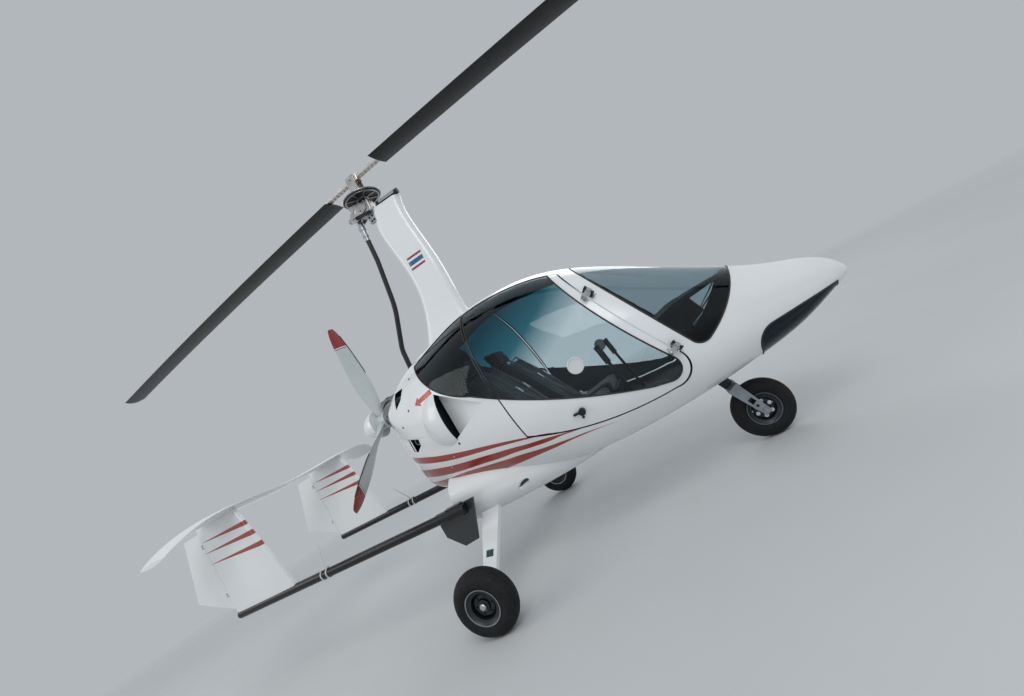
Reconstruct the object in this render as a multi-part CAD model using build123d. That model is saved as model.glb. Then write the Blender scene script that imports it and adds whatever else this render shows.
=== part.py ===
"""A two-seat enclosed gyrocopter with a pusher propeller and a twin-boom tail, in millimetres.

+X points to the nose, +Y to port and +Z up. The origin is on the ground under the rotor's hub.
"""

import os
from math import cos, pi, radians, sin, tan

from build123d import *

# Clearances and wall thicknesses
SKIN = 10.0  # composite skin of the cabin, cowl and doors
GLAZING = 5.0  # acrylic of every window
FIT = 0.3  # gap between two fixed pieces that seat on each other
SEAM = 8.3  # gap round a door
GLASS_GAP = 0.5  # gap between a window and its frame
RUNNING = 0.05  # radial gap of a shaft in its bearing

# Body form, one row per station from nose to tail.
# Columns: x, top, bottom, half_width, widest, top_flat, bottom_flat
BODY_STATIONS = (
    (2372, 716, 666, 46, 690, 0.30, 0.40),
    (2335, 770, 650, 92, 702, 0.25, 0.40),
    (2240, 846, 618, 160, 722, 0.25, 0.40),
    (2060, 930, 560, 250, 745, 0.22, 0.42),
    (1800, 1075, 515, 368, 780, 0.20, 0.45),
    (1500, 1275, 486, 487, 830, 0.18, 0.45),
    (1200, 1472, 470, 583, 900, 0.16, 0.45),
    (900, 1620, 466, 640, 960, 0.15, 0.45),
    (600, 1688, 478, 655, 1010, 0.14, 0.42),
    (250, 1694, 530, 615, 1060, 0.14, 0.40),
    (-60, 1640, 590, 530, 1090, 0.14, 0.40),
    (-330, 1582, 646, 432, 1100, 0.14, 0.40),
    (-520, 1480, 698, 328, 1218, 0.16, 0.40),
    (-645, 1440, 768, 165, 1218, 0.20, 0.40),
)
SIDE_SHARE = 0.06  # straight part of a section's side, as a share of its height

# Belly pod under the rear of the cabin, same columns as the body
POD_STATIONS = (
    (820, 640, 462, 250, 560, 0.30, 0.55),
    (560, 700, 440, 400, 570, 0.40, 0.60),
    (240, 760, 434, 470, 590, 0.50, 0.64),
    (-80, 780, 430, 480, 600, 0.50, 0.66),
    (-330, 790, 430, 470, 610, 0.50, 0.66),
)

# Panel lines, in side view
COWL_SEAM_X = -25.0
COWL_LOW_SEAM = ((-25, 946), (-47, 897), (-130, 866), (-215, 808), (-292, 722), (-335, 600), (-335, 300))
SPINE_HALF = 298.0  # half width of the roof spine between the two doors
KEEL_HALF = 34.0  # half width of the keel strip between the two chin windows
FIREWALL_X = -60.0
FIREWALL_THICK = 18.0
BEAM_X = -358.3  # cross beam that carries both booms

# Air intakes: a sunken ramp in the cabin's side, and a domed cheek on the cowl behind its mouth
RAMP_TIP = (285.0, 622.0, 1090.0)
RAMP_BACK_Y = 480.0
RAMP_TOP_Z = 1294.0
RAMP_LOW_Z = 978.0
RAMP_WALL = 8.0
CHEEK_CENTRE = (-20.0, 430.0, 1120.0)
CHEEK_RADII = (215.0, 158.0, 212.0)
CHEEK_WALL = 8.0

# Parting line between the upper and lower cowl, in side view
COWL_SPLIT = ((-236, 1085), (-322, 1101), (-406, 1122), (-472, 1144), (-560, 1177), (-680, 1240))
GROOVE_WIDTH = 5.0
GROOVE_DEPTH = 4.0
VENT_OUTLINE = ((-318, 1462), (-437, 1466), (-430, 1352), (-356, 1396))

# Rotor
HUB = (14.0, 0.0, 3060.0)  # teeter bolt
SHAFT_TILT = 5.0  # degrees, top leaning forward
ROTOR_RADIUS = 4330.0
ROTOR_AZIMUTH = 171.5  # degrees, aft blade as it parks
BLADE_CHORD = 200.0
BLADE_THICK = 24.0
BLADE_ROOT = 300.0
BLADE_DROOP = 158.0  # sag of a parked blade's tip
BAR_HALF = 345.0
BAR_WIDTH = 74.0
BAR_THICK = 16.0
TEETER_BOLT_R = 8.0
TOWER_HALF = 44.0  # teeter tower's outside half width, along the bolt
TOWER_WALL = 11.0
RING_GEAR_R = 147.0
RING_GEAR_DROP = 160.0  # below the teeter bolt
RING_GEAR_THICK = 14.0
SPINDLE_R = 17.0

# Mast fairing. Columns: z, rear x, front x, half_thickness
MAST_STATIONS = (
    (1560, -190, 330, 92),
    (1690, -112, 285, 72),
    (1840, -38, 276, 62),
    (2240, 20, 280, 56),
    (2800, 66, 298, 52),
)
HEAD_BASE = -295.0  # underside of the rotor head's base plate, along the shaft from the teeter bolt
HEAD_PLATE = 16.0
HEAD_BLOCK = 84.0
YOKE_OUTLINE = ((-112, 2890), (-158, 2778), (-118, 2753), (8, 2799), (22, 2830), (-30, 2872))
YOKE_Y = 46.0
YOKE_THICK = 8.0
# Columns: x, z, radius
YOKE_HOLES = ((-84, 2832, 17), (-124, 2852, 11), (-122, 2790, 12), (-42, 2806, 9))

# Propeller
GEAR_X = -560.0  # rear face of the engine block
GEAR_LENGTH = 150.0
PROP_X = -810.0
PROP_Z = 1367.0
PROP_RADIUS = 856.0
PROP_COUNT = 3
PROP_HUB_R = 62.0
PROP_HUB_LENGTH = 96.0
SPINNER_R = 112.0
EXHAUST_R = 30.0
EXHAUST_START = (-300, -180, 1075)
EXHAUST_END = (-379, -388, 1094)
EXHAUST_HOLE = ((-447, 1132), (-343, 1100), (-350, 1056), (-413, 1024), (-456, 1040))
SPINNER_LENGTH = 145.0
SPINNER_TIP_R = 16.0
PROP_SHAFT_R = 24.0
# Columns: radius, chord, thickness, pitch in degrees
PROP_STATIONS = (
    (60, 74, 62, 62),
    (150, 96, 44, 54),
    (300, 138, 26, 40),
    (480, 142, 18, 29),
    (660, 122, 13, 23),
    (790, 90, 10, 20),
    (856, 44, 7, 19),
)

# Tail
BOOM_Y = 594.0
BOOM_R = 31.0
BOOM_FRONT = (-185.0, 590.0)  # x and z of the front end's centre
BOOM_REAR = (-2334.0, 657.0)
FIN_FRONT_LOW = (-1697.0, 662.0)
FIN_FRONT_TOP = (-1897.0, 1384.0)
RUDDER_HINGE_X = -2346.0
RUDDER_NOSE_R = 15.0
RUDDER_EDGE = 3.0  # half thickness at the trailing edge
RUDDER_LUGS = (830.0, 1240.0)  # heights of its two hinges
RUDDER_TOP = (-2528.0, 1345.0)
RUDDER_LOW = (-2703.0, 871.0)
RUDDER_HINGE_LOW = 715.0
FIN_THICK = 44.0
RUDDER_GAP = 6.0
RUDDER_PIN_R = 4.0
TAILPLANE_CHORD = 430.0
TAILPLANE_LEAD_X = -1826.0
TAILPLANE_Z = 1384.0
TAILPLANE_FLAT_HALF = 760.0
TAILPLANE_HALF = 1118.0
TAILPLANE_THICK = 44.0
TAILPLANE_DROOP = 100.0

# Landing gear
MAIN_AXLE_X = -125.0
TRACK_HALF = 955.0
WHEEL_R = 183.0
MAIN_TYRE_WIDTH = 132.0
NOSE_TYRE_WIDTH = 112.0
RIM_R = 92.0
RIM_SEAT_R = 80.0
AXLE_R = 14.0
LEG_THICK = 26.0
LEG_WIDTH_TOP = 140.0
LEG_WIDTH_FOOT = 76.0
LEG_TOP_Z = 486.0
LEG_BEND_Y = 420.0
LEG_FOOT_Y = 868.0
NOSE_AXLE_X = 1610.0
NOSE_RAKE = 25.0  # degrees, steering axis leaning back at its top
FORK_HALF = 76.0  # inside half width between the fork's blades
FORK_WALL = 10.0
FORK_CROWN = 214.0  # axle to crown, along the steering axis
STEER_TUBE_R = 22.0

# Door hinges: a point of the body's side in x, y and z, and its outward direction
UPPER_HINGE = ((1122, 502, 1299), (0.375, 0.759, 0.532))
LOWER_HINGE = ((1366, 534, 829), (0.32, 0.947, 0.0))
HINGE_STAND_OFF = 41.0  # pin's height above the skin
HINGE_PIN_R = 6.0
HINGE_EYE_R = 12.0

# Tie-down eye in each clamp plate
TIE_DOWN_X = -285.0
TIE_DOWN_Z = 402.0
TIE_DOWN_R = 6.0

# Cabin
FLOOR_Z = 592.0
FLOOR_THICK = 12.0
FLOOR_FRONT_X = 1700.0
FLOOR_STEP = 40.0  # height of the raised rear end, where the belly curves up to the firewall
FLOOR_STEP_X = 160.0
SEAT_Y = 290.0
SEAT_WIDTH = 470.0
CUSHION_WIDTH = 420.0
HEADREST_WIDTH = 250.0
PAD_ROUND = 16.0
STICK_Y = 290.0
PANEL_WIDTH = 660.0


def place(point, x_dir=(1, 0, 0), z_dir=(0, 0, 1)):
    """A plane at a point."""
    return Plane(origin=point, x_dir=x_dir, z_dir=z_dir)


def cylinder_between(start, end, radius):
    """A round bar from one point to another."""
    a, b = Vector(*start), Vector(*end)
    return Solid.make_cylinder(radius, (b - a).length, Plane(origin=a, z_dir=b - a))


def box(x0, x1, y0, y1, z0, z1):
    """A box between two corners."""
    return Pos((x0 + x1) / 2, (y0 + y1) / 2, (z0 + z1) / 2) * Box(x1 - x0, y1 - y0, z1 - z0)


def mirror_y(shape):
    """The same piece on the other side of the aircraft."""
    return mirror(shape, about=Plane.XZ)


def one_solid(shape):
    """The largest solid of a boolean's result, so that a shaving is dropped."""
    return max(shape.solids(), key=lambda s: s.volume)


def body_section(x, top, bottom, half_width, widest, top_flat, bottom_flat, inset=0.0):
    """One rounded cross-section of the body: lines joined by quarter ellipses."""
    top -= inset
    bottom += inset
    half_width -= inset
    side = SIDE_SHARE * (top - bottom)
    low, high = widest - side, widest + side
    flat_b, flat_t = bottom_flat * half_width, top_flat * half_width
    arc_b = (half_width - flat_b, low - bottom)
    arc_t = (half_width - flat_t, top - high)
    edges = [
        Line((-flat_b, bottom), (flat_b, bottom)),
        EllipticalCenterArc((flat_b, low), *arc_b, start_angle=270, arc_size=90),
        Line((half_width, low), (half_width, high)),
        EllipticalCenterArc((flat_t, high), *arc_t, start_angle=0, arc_size=90),
        Line((flat_t, top), (-flat_t, top)),
        EllipticalCenterArc((-flat_t, high), *arc_t, start_angle=90, arc_size=90),
        Line((-half_width, high), (-half_width, low)),
        EllipticalCenterArc((-flat_b, low), *arc_b, start_angle=180, arc_size=90),
    ]
    return place((x, 0, 0), (0, 1, 0), (1, 0, 0)) * make_face(edges)


def body_form(inset=0.0, stations=BODY_STATIONS):
    """The body's outer form, or the same form set inwards by a wall."""
    return loft([body_section(*row, inset=inset) for row in stations])


def side_prism(outline):
    """A side-view outline, in x and z, drawn out across the body."""
    flat = outline if isinstance(outline, Sketch) else make_face(outline)
    face = place((0, 0, 0), (1, 0, 0), (0, -1, 0)) * flat
    return extrude(face, amount=1500, both=True)


def windscreen_outline(grow=0.0):
    """The windscreen in side view: a straight pillar edge and a swept lower edge."""
    lead = 1456 - grow
    return [
        Line((985 - grow, 1700), (lead - 6, 800 - grow)),
        ThreePointArc((lead - 6, 800 - grow), (1488, 764 - grow), (1552 + grow, 769 - grow)),
        ThreePointArc((1552 + grow, 769 - grow), (1700 + grow, 866 - grow), (1882 + grow, 1120)),
        Line((1882 + grow, 1120), (1882 + grow, 1700)),
        Line((1882 + grow, 1700), (985 - grow, 1700)),
    ]


def door_outline(grow=0.0):
    """The door in side view, grown for its opening."""
    g = grow
    return [
        ThreePointArc((930 + g, 1700), (1160 + g, 1175), (1371 + g, 780)),
        ThreePointArc((1371 + g, 780), (1366 + g, 673 - g), (1262, 628 - g)),
        ThreePointArc((1262, 628 - g), (840, 664 - g), (418 - g, 792 - g)),
        ThreePointArc((418 - g, 792 - g), (378 - g, 1190), (335 - g, 1700)),
        Line((335 - g, 1700), (930 + g, 1700)),
    ]


def glass_outline(grow=0.0):
    """Every side window together, in side view: the glass line runs on from the door to the cowl."""
    g = grow
    return [
        ThreePointArc((892 + g, 1720), (1118 + g, 1167), (1334 + g, 778)),
        ThreePointArc((1334 + g, 778), (1333 + g, 693 - g), (1262, 664 - g)),
        Line((1262, 664 - g), (1163, 690 - g)),
        ThreePointArc((1163, 690 - g), (709, 886 - g), (225, 1157 - g)),
        ThreePointArc((225, 1157 - g), (-30 - g, 1330 - g), (-176 - g, 1560)),
        Line((-176 - g, 1560), (-176 - g, 1720)),
        Line((-176 - g, 1720), (892 + g, 1720)),
    ]


def cowl_outline(grow=0.0):
    """The cowl in side view: an upright seam that follows the glass above and sweeps back below."""
    g = grow
    low = [(x + g, z - g) for x, z in COWL_LOW_SEAM]
    return Polyline(
        *low, (-900, 300), (-900, 1900), (-250 + g, 1900), (-250 + g, 1560), (COWL_SEAM_X + g, 1290), close=True
    )


def chin_outline(grow=0.0):
    """The chin window in side view."""
    g = grow
    return [
        Line((2275 + g, 664 + g), (1850, 664 + g)),
        ThreePointArc((1850, 664 + g), (1770 - g, 628), (1742 - g, 540)),
        Line((1742 - g, 540), (1742 - g, 380)),
        Line((1742 - g, 380), (2275 + g, 380)),
        Line((2275 + g, 380), (2275 + g, 664 + g)),
    ]


def socket_bore():
    """The hole in the belly for the nose leg's bearing tube."""
    return nose_plane() * Pos(0, 0, FORK_CROWN + 90) * Cylinder(STEER_TUBE_R + 12 + FIT, 220)


def side_only(half, port):
    """The space outboard of a distance from the centre line, on one side."""
    y0, y1 = (half, 1500) if port else (-1500, -half)
    return box(-3000, 3000, y0, y1, 0, 3000)


def ramp_space(grow=0.0):
    """The space outboard of the left intake's ramp, grown for the ramp's own wall."""
    tip_x, tip_y, tip_z = RAMP_TIP
    slope = (tip_y - RAMP_BACK_Y) / (tip_x - COWL_SEAM_X)
    corners = [
        (tip_x + 2 * grow, tip_y + 2 * grow * slope - grow, tip_z),
        (COWL_SEAM_X, RAMP_BACK_Y - grow, RAMP_TOP_Z + grow),
        (COWL_SEAM_X, RAMP_BACK_Y - grow, RAMP_LOW_Z - grow),
    ]
    return extrude(Face(Wire.make_polygon(corners)), amount=300, dir=(0, 1, 0))


def cheek_form(inset=0.0):
    """The left cheek's dome, behind the intake's mouth."""
    radii = tuple(r - inset for r in CHEEK_RADII)
    dome = Pos(*CHEEK_CENTRE) * scale(Sphere(1), by=radii)
    return dome & box(-900, COWL_SEAM_X, 0, 900, 0, 2000)


def cowl_groove(outer):
    """The shallow parting line round the cowl's sides."""
    band = side_prism(trace(Polyline(*COWL_SPLIT), GROOVE_WIDTH))
    return (outer & band) - body_form(GROOVE_DEPTH, BODY_STATIONS[6:])


def vents():
    """The air outlets high on both sides of the cowl, and the starboard exhaust opening."""
    slots = side_prism(Polyline(*VENT_OUTLINE, close=True))
    outlet = side_prism(Polyline(*EXHAUST_HOLE, close=True)) & side_only(200, False)
    return slots + outlet


def body_pieces():
    """Cabin shell, cowl, windows and doors, all cut from one body form."""
    outer = body_form()
    inner = body_form(SKIN, BODY_STATIONS[1:])
    glass_inner = body_form(GLAZING, BODY_STATIONS[1:])
    shell = outer - inner
    glass = outer - glass_inner

    opening = side_prism(door_outline(SEAM))
    windows = side_prism(glass_outline(GLASS_GAP))
    chin = side_prism(chin_outline(GLASS_GAP))
    screen = side_prism(windscreen_outline(GLASS_GAP))

    frame = shell - screen
    for port in (True, False):
        frame -= opening & side_only(SPINE_HALF, port)
        frame -= windows & side_only(SPINE_HALF, port)
        frame -= chin & side_only(KEEL_HALF, port)
    frame -= socket_bore()
    cabin = frame - side_prism(cowl_outline(FIT))
    wall = (ramp_space(RAMP_WALL) & body_form(2)) - ramp_space()
    wall -= side_prism(cowl_outline(FIT))
    for mirrored in (False, True):
        cabin -= mirror_y(ramp_space()) if mirrored else ramp_space()
        cabin += mirror_y(wall) if mirrored else wall
    cowl = (frame & side_prism(cowl_outline())) - vents() - engine_opening() - cowl_groove(outer)
    hollow = cheek_form(CHEEK_WALL)
    cheek = (cheek_form() & side_prism(cowl_outline())) - hollow - body_form(SKIN - 2, BODY_STATIONS[6:])
    for mirrored in (False, True):
        cowl -= mirror_y(hollow) if mirrored else hollow
        cowl += mirror_y(cheek) if mirrored else cheek
    pieces = {"cabin_shell": one_solid(cabin), "engine_cowl": one_solid(cowl)}

    pieces["windscreen"] = one_solid(glass & side_prism(windscreen_outline()))
    chins = [
        one_solid(glass & side_prism(chin_outline()) & side_only(KEEL_HALF + GLASS_GAP, port))
        for port in (True, False)
    ]

    door_all = side_prism(door_outline())
    glass_all = side_prism(glass_outline())
    quarter_zone = glass_all - opening
    doors = {}
    for port, side in ((True, "left"), (False, "right")):
        zone = side_only(SPINE_HALF + SEAM, port)
        panel = (shell & door_all & zone) - windows
        arms = hinge_arms()
        doors[side] = one_solid(one_solid(panel) + (arms if port else mirror_y(arms)))
        pieces[f"door_window_{side}"] = one_solid(glass & door_all & glass_all & zone)
    quarter_zone &= box(-3000, 500, -1500, 1500, 0, 3000)
    quarters = [
        one_solid(glass & quarter_zone & side_only(SPINE_HALF + GLASS_GAP, port))
        for port in (True, False)
    ]
    pieces["fixed_windows"] = Compound([*chins, *quarters])
    pieces["door_left"], pieces["door_right"] = doors["left"], doors["right"]

    slabs = box(FIREWALL_X - FIREWALL_THICK, FIREWALL_X, -1500, 1500, 0, 3000)
    slabs += box(FIREWALL_X, FLOOR_FRONT_X, -1500, 1500, FLOOR_Z - FLOOR_THICK, FLOOR_Z)
    slabs += box(FIREWALL_X, FLOOR_STEP_X, -1500, 1500, FLOOR_Z - FLOOR_THICK, FLOOR_Z + FLOOR_STEP)
    pieces["floor_and_firewall"] = one_solid(body_form(SKIN + FIT, BODY_STATIONS[1:]) & slabs)
    return pieces


def belly_pod():
    """The fairing under the cabin that carries the main leg and the booms' beam."""
    pod = loft([body_section(*row) for row in POD_STATIONS])
    pod -= body_form(-FIT)
    pod -= main_leg_form(FIT)
    pod -= beam_form(FIT)
    cup = scale(Sphere(1), by=(54, 22, 27))
    for side in (1, -1):
        pod -= Pos(178, side * 458, 534) * Rot(0, -20, 0) * cup
    return one_solid(pod)


def main_leg_form(grow=0.0):
    """The one-piece sprung leg: a flat leaf bent down to each wheel."""
    foot_z = WHEEL_R + 6
    path = [(-LEG_FOOT_Y, foot_z), (-LEG_BEND_Y, LEG_TOP_Z), (LEG_BEND_Y, LEG_TOP_Z), (LEG_FOOT_Y, foot_z)]
    line = FilletPolyline(*path, radius=160)
    strip = trace(line, LEG_THICK + 2 * grow)
    leaf = extrude(place((MAIN_AXLE_X, 0, 0), (0, 1, 0), (1, 0, 0)) * strip, amount=LEG_WIDTH_TOP, both=True)
    wide, narrow = LEG_WIDTH_TOP / 2 + grow, LEG_WIDTH_FOOT / 2 + grow
    plan = Polyline(
        (-narrow, -LEG_FOOT_Y - 50), (-wide, -LEG_BEND_Y), (-wide, LEG_BEND_Y), (-narrow, LEG_FOOT_Y + 50),
        (narrow, LEG_FOOT_Y + 50), (wide, LEG_BEND_Y), (wide, -LEG_BEND_Y), (narrow, -LEG_FOOT_Y - 50), close=True,
    )
    outline = Pos(MAIN_AXLE_X, 0, 0) * extrude(make_face(plan), amount=1000, both=True)
    return one_solid(leaf & outline)


def beam_form(grow=0.0):
    """The cross beam that carries both booms behind the pod."""
    half = 28 + grow
    reach = BOOM_Y - BOOM_R - 3
    return box(BEAM_X - half, BEAM_X + half, -reach, reach, 560 - half, 560 + half)


def boom_axis():
    """The direction of a boom, from front to rear."""
    return Vector(BOOM_REAR[0] - BOOM_FRONT[0], 0, BOOM_REAR[1] - BOOM_FRONT[1])


def tail_booms():
    """Two round booms with closed ends."""
    booms = []
    for side in (1, -1):
        start = (BOOM_FRONT[0], side * BOOM_Y, BOOM_FRONT[1])
        end = (BOOM_REAR[0], side * BOOM_Y, BOOM_REAR[1])
        booms.append(cylinder_between(start, end, BOOM_R))
    return Compound(booms)


def boom_beam():
    """Cross beam, its two clamp plates and the frame column that rises into the cowl."""
    beam = beam_form()
    for side in (1, -1):
        inner, outer = BOOM_Y - BOOM_R - 14, BOOM_Y - BOOM_R - FIT
        plate_face = make_face(
            Polyline((-430, 625), (-120, 622), (-230, 380), (-335, 372), (-428, 470), close=True)
        )
        plate = place((0, 0, 0), (1, 0, 0), (0, -1, 0)) * plate_face
        plate = Pos(0, side * (inner + outer) / 2, 0) * extrude(plate, amount=(outer - inner) / 2, both=True)
        saddle = box(-330, -215, *sorted((side * inner, side * BOOM_Y)), 552, 632)
        beam += plate + (saddle - tube_cut(side))
    beam -= [Pos(TIE_DOWN_X, 0, TIE_DOWN_Z) * Rot(90, 0, 0) * Cylinder(TIE_DOWN_R, 2 * BOOM_Y)]
    column = Pos(-395, 0, 620) * extrude(RectangleRounded(92, 120, 30), amount=90, both=True)
    beam += column
    return one_solid(beam - body_form(-FIT))


def mast():
    """The streamlined mast: rounded sections, wider and flared at the roof."""
    faces = []
    for z, rear, front, half in MAST_STATIONS:
        width, depth = front - rear, 2 * half
        radius = 0.42 * depth
        faces.append(Pos((front + rear) / 2, 0, z) * RectangleRounded(width, depth, radius))
    column = loft(faces)
    above = shaft_plane(HEAD_BASE - FIT) * extrude(Rectangle(900, 900), amount=400)
    return one_solid(column - body_form(-FIT) - above)


def shaft_plane(distance=0.0):
    """A plane square to the rotor shaft, at a distance along it from the teeter bolt."""
    tilt = radians(SHAFT_TILT)
    up = Vector(sin(tilt), 0, cos(tilt))
    origin = Vector(*HUB) + up * distance
    return Plane(origin=origin, x_dir=(cos(tilt), 0, -sin(tilt)), z_dir=up)


def rotor_plane(distance=0.0):
    """The shaft plane turned so that its x axis lies along the parked blades."""
    return shaft_plane(distance) * Rot(0, 0, ROTOR_AZIMUTH)


def rotor_head():
    """Fixed head on the mast: base plate, gimbal block, spindle and the arm for the controls."""
    top = HEAD_BASE + HEAD_PLATE
    base = shaft_plane(HEAD_BASE) * extrude(Pos(15, 0) * RectangleRounded(170, 96, 14), amount=HEAD_PLATE)
    block = shaft_plane(top) * extrude(RectangleRounded(110, 84, 12), amount=HEAD_BLOCK)
    spindle = shaft_plane(top + HEAD_BLOCK) * extrude(Circle(SPINDLE_R), amount=70)
    arm = shaft_plane(top + 8) * extrude(Pos(-110, 0) * RectangleRounded(150, 44, 12), amount=24)
    head = base + block + spindle + arm
    for side in (1, -1):
        plate = slab(make_face(Polyline(*YOKE_OUTLINE, close=True)), side * YOKE_Y, YOKE_THICK)
        for x, z, radius in YOKE_HOLES:
            plate -= Pos(x, side * YOKE_Y, z) * Rot(90, 0, 0) * Cylinder(radius, 40)
        head += plate
    return head


def ring_gear():
    """The pre-rotator's ring on the turning hub."""
    outer = Circle(RING_GEAR_R) - Circle(SPINDLE_R + RUNNING)
    return shaft_plane(-RING_GEAR_DROP) * extrude(outer, amount=RING_GEAR_THICK)


def teeter_tower():
    """Bearing housing and two cheeks that carry the teeter bolt."""
    gap = RING_GEAR_DROP - RING_GEAR_THICK
    housing = Circle(46) - Circle(SPINDLE_R + RUNNING)
    tower = rotor_plane(-gap) * extrude(housing, amount=40)
    tower += rotor_plane(-gap + 40) * extrude(RectangleRounded(88, 2 * TOWER_HALF, 10), amount=14)
    for side in (1, -1):
        cheek = Pos(0, side * (TOWER_HALF - TOWER_WALL / 2)) * Rectangle(76, TOWER_WALL)
        tower += rotor_plane(-gap + 54) * extrude(cheek, amount=gap - 54 + 26)
    bolt = rotor_plane() * Rot(90, 0, 0) * Cylinder(TEETER_BOLT_R, 2 * TOWER_HALF + 24)
    return one_solid(tower + bolt)


def hub_bar():
    """The teetering bar that joins both blades, with its block round the bolt."""
    bar = rotor_plane(-BAR_THICK / 2) * extrude(RectangleRounded(2 * BAR_HALF, BAR_WIDTH - 30, 10), amount=BAR_THICK)
    inside = TOWER_HALF - TOWER_WALL - 5
    block = rotor_plane(-24) * extrude(RectangleRounded(120, 2 * inside, 8), amount=46)
    hole = rotor_plane() * Rot(90, 0, 0) * Cylinder(TEETER_BOLT_R + RUNNING, 4 * TOWER_HALF)
    return one_solid((bar + block) - hole)


def blade_section(radius, chord, thick, drop, rake=0.0):
    """A lens-shaped aerofoil across the blade, at a radius from the hub."""
    lead, trail = 0.3 * chord, -0.7 * chord
    wire = [
        ThreePointArc((trail, 0), (-0.2 * chord, 0.6 * thick), (lead, 0)),
        ThreePointArc((lead, 0), (-0.2 * chord, -0.4 * thick), (trail, 0)),
    ]
    plane = Plane(origin=(radius, rake, drop), x_dir=(0, 1, 0), z_dir=(1, 0, 0))
    return plane * make_face(wire)


def rotor_blades():
    """Both blades, sagging towards their tips as they do when parked."""
    blades = []
    square = ROTOR_RADIUS - 70
    seat = -BAR_THICK / 2 - 0.6 * BLADE_THICK - FIT
    for turn in (0, 180):
        sections = []
        for share in (0.0, 0.33, 0.66, 1.0):
            radius = BLADE_ROOT + share * (square - BLADE_ROOT)
            drop = seat - BLADE_DROOP * share * (0.45 + 0.55 * share)
            sections.append(blade_section(radius, BLADE_CHORD, BLADE_THICK, drop))
        cap = blade_section(ROTOR_RADIUS, 0.42 * BLADE_CHORD, 0.4 * BLADE_THICK, seat - BLADE_DROOP - 3, -44)
        blade = loft(sections) + loft([sections[-1], cap], ruled=True)
        blades.append(rotor_plane() * Rot(0, 0, turn) * blade)
    return Compound(blades)


def prerotator_motor():
    """The slim drive motor that lies on the mast's top, in front of the head."""
    seat = shaft_plane(HEAD_BASE + 21)
    return seat * Pos(206, -26, 0) * Rot(0, 90, 0) * Cylinder(21, 200)


def control_conduit():
    """The stiff control conduit from the head's arm down into the cowl."""
    points = [(-118, 0, 2788), (-150, 0, 2440), (-222, 0, 2060), (-352, 0, 1760), (-372, 0, 1560)]
    route = FilletPolyline(*points, radius=[700, 700, 240])
    tube = sweep(Plane(origin=route @ 0, z_dir=route % 0) * Circle(19), path=route)
    return one_solid(tube - body_form(-FIT))


def prop_section(radius, chord, thick, pitch):
    """A lens-shaped section of a propeller blade, turned to its pitch."""
    wire = [
        ThreePointArc((-chord / 2, 0), (0, 0.65 * thick), (chord / 2, 0)),
        ThreePointArc((chord / 2, 0), (0, -0.35 * thick), (-chord / 2, 0)),
    ]
    return Pos(0, 0, radius) * Rot(0, 0, 90 - pitch) * make_face(wire)


def propeller():
    """Three twisted blades on a round hub."""
    plane = Plane(origin=(PROP_X, 0, PROP_Z), x_dir=(0, 1, 0), z_dir=(1, 0, 0))
    hub = plane * Pos(0, 0, -PROP_HUB_LENGTH / 2) * extrude(Circle(PROP_HUB_R), amount=PROP_HUB_LENGTH)
    blade = loft([prop_section(*row) for row in PROP_STATIONS])
    for index in range(PROP_COUNT):
        hub += Pos(PROP_X, 0, PROP_Z) * Rot(2 + index * 360 / PROP_COUNT, 0, 0) * blade
    bore = plane * extrude(Circle(PROP_SHAFT_R + RUNNING), amount=PROP_HUB_LENGTH)
    return one_solid(hub - bore)


def prop_spinner():
    """The round cap behind the propeller's hub."""
    back = PROP_X - PROP_HUB_LENGTH / 2 - FIT
    tip = (SPINNER_TIP_R, SPINNER_LENGTH)
    outline = [
        Line((0, 0), (SPINNER_R, 0)),
        ThreePointArc((SPINNER_R, 0), (0.74 * SPINNER_R, 0.62 * SPINNER_LENGTH), tip),
        Line(tip, (0, SPINNER_LENGTH)),
        Line((0, SPINNER_LENGTH), (0, 0)),
    ]
    dome = revolve(Plane.XZ * make_face(outline), Axis.Z)
    return Plane(origin=(back, 0, PROP_Z), x_dir=(0, 1, 0), z_dir=(-1, 0, 0)) * dome


def engine():
    """The engine as one plain block, with the gearbox and flange that stand out behind the cowl."""
    plane = gear_plane()
    front = PROP_X + PROP_HUB_LENGTH / 2
    length = GEAR_X - front
    case = plane * Pos(0, -20) * extrude(RectangleRounded(190, 230, 60), amount=GEAR_LENGTH)
    flange = plane * extrude(Circle(64), amount=length - 5)
    shaft = plane * extrude(Circle(PROP_SHAFT_R), amount=length + PROP_HUB_LENGTH / 2 - 5)
    block = box(GEAR_X, FIREWALL_X - FIREWALL_THICK - FIT, -190, 190, 900, 1340)
    return case + flange + shaft + block


def gear_plane():
    """The plane of the gearbox's front, with z to the rear."""
    return Plane(origin=(GEAR_X, 0, PROP_Z), x_dir=(0, 1, 0), z_dir=(-1, 0, 0))


def engine_opening():
    """The cowl's rear opening round the gearbox."""
    return gear_plane() * Pos(0, -20, -20) * extrude(RectangleRounded(214, 254, 72), amount=200)


def fin_outline():
    """The fixed fin in side view."""
    hinge = RUDDER_HINGE_X + RUDDER_NOSE_R + RUDDER_GAP
    return Polyline(FIN_FRONT_LOW, FIN_FRONT_TOP, (hinge, TAILPLANE_Z), (hinge, 676), close=True)


def slab(outline, y, thick):
    """A flat side-view piece of a given thickness about a y position."""
    flat = outline if isinstance(outline, Sketch) else make_face(outline)
    face = place((0, 0, 0), (1, 0, 0), (0, -1, 0)) * flat
    return Pos(0, y, 0) * extrude(face, amount=thick / 2, both=True)


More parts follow.
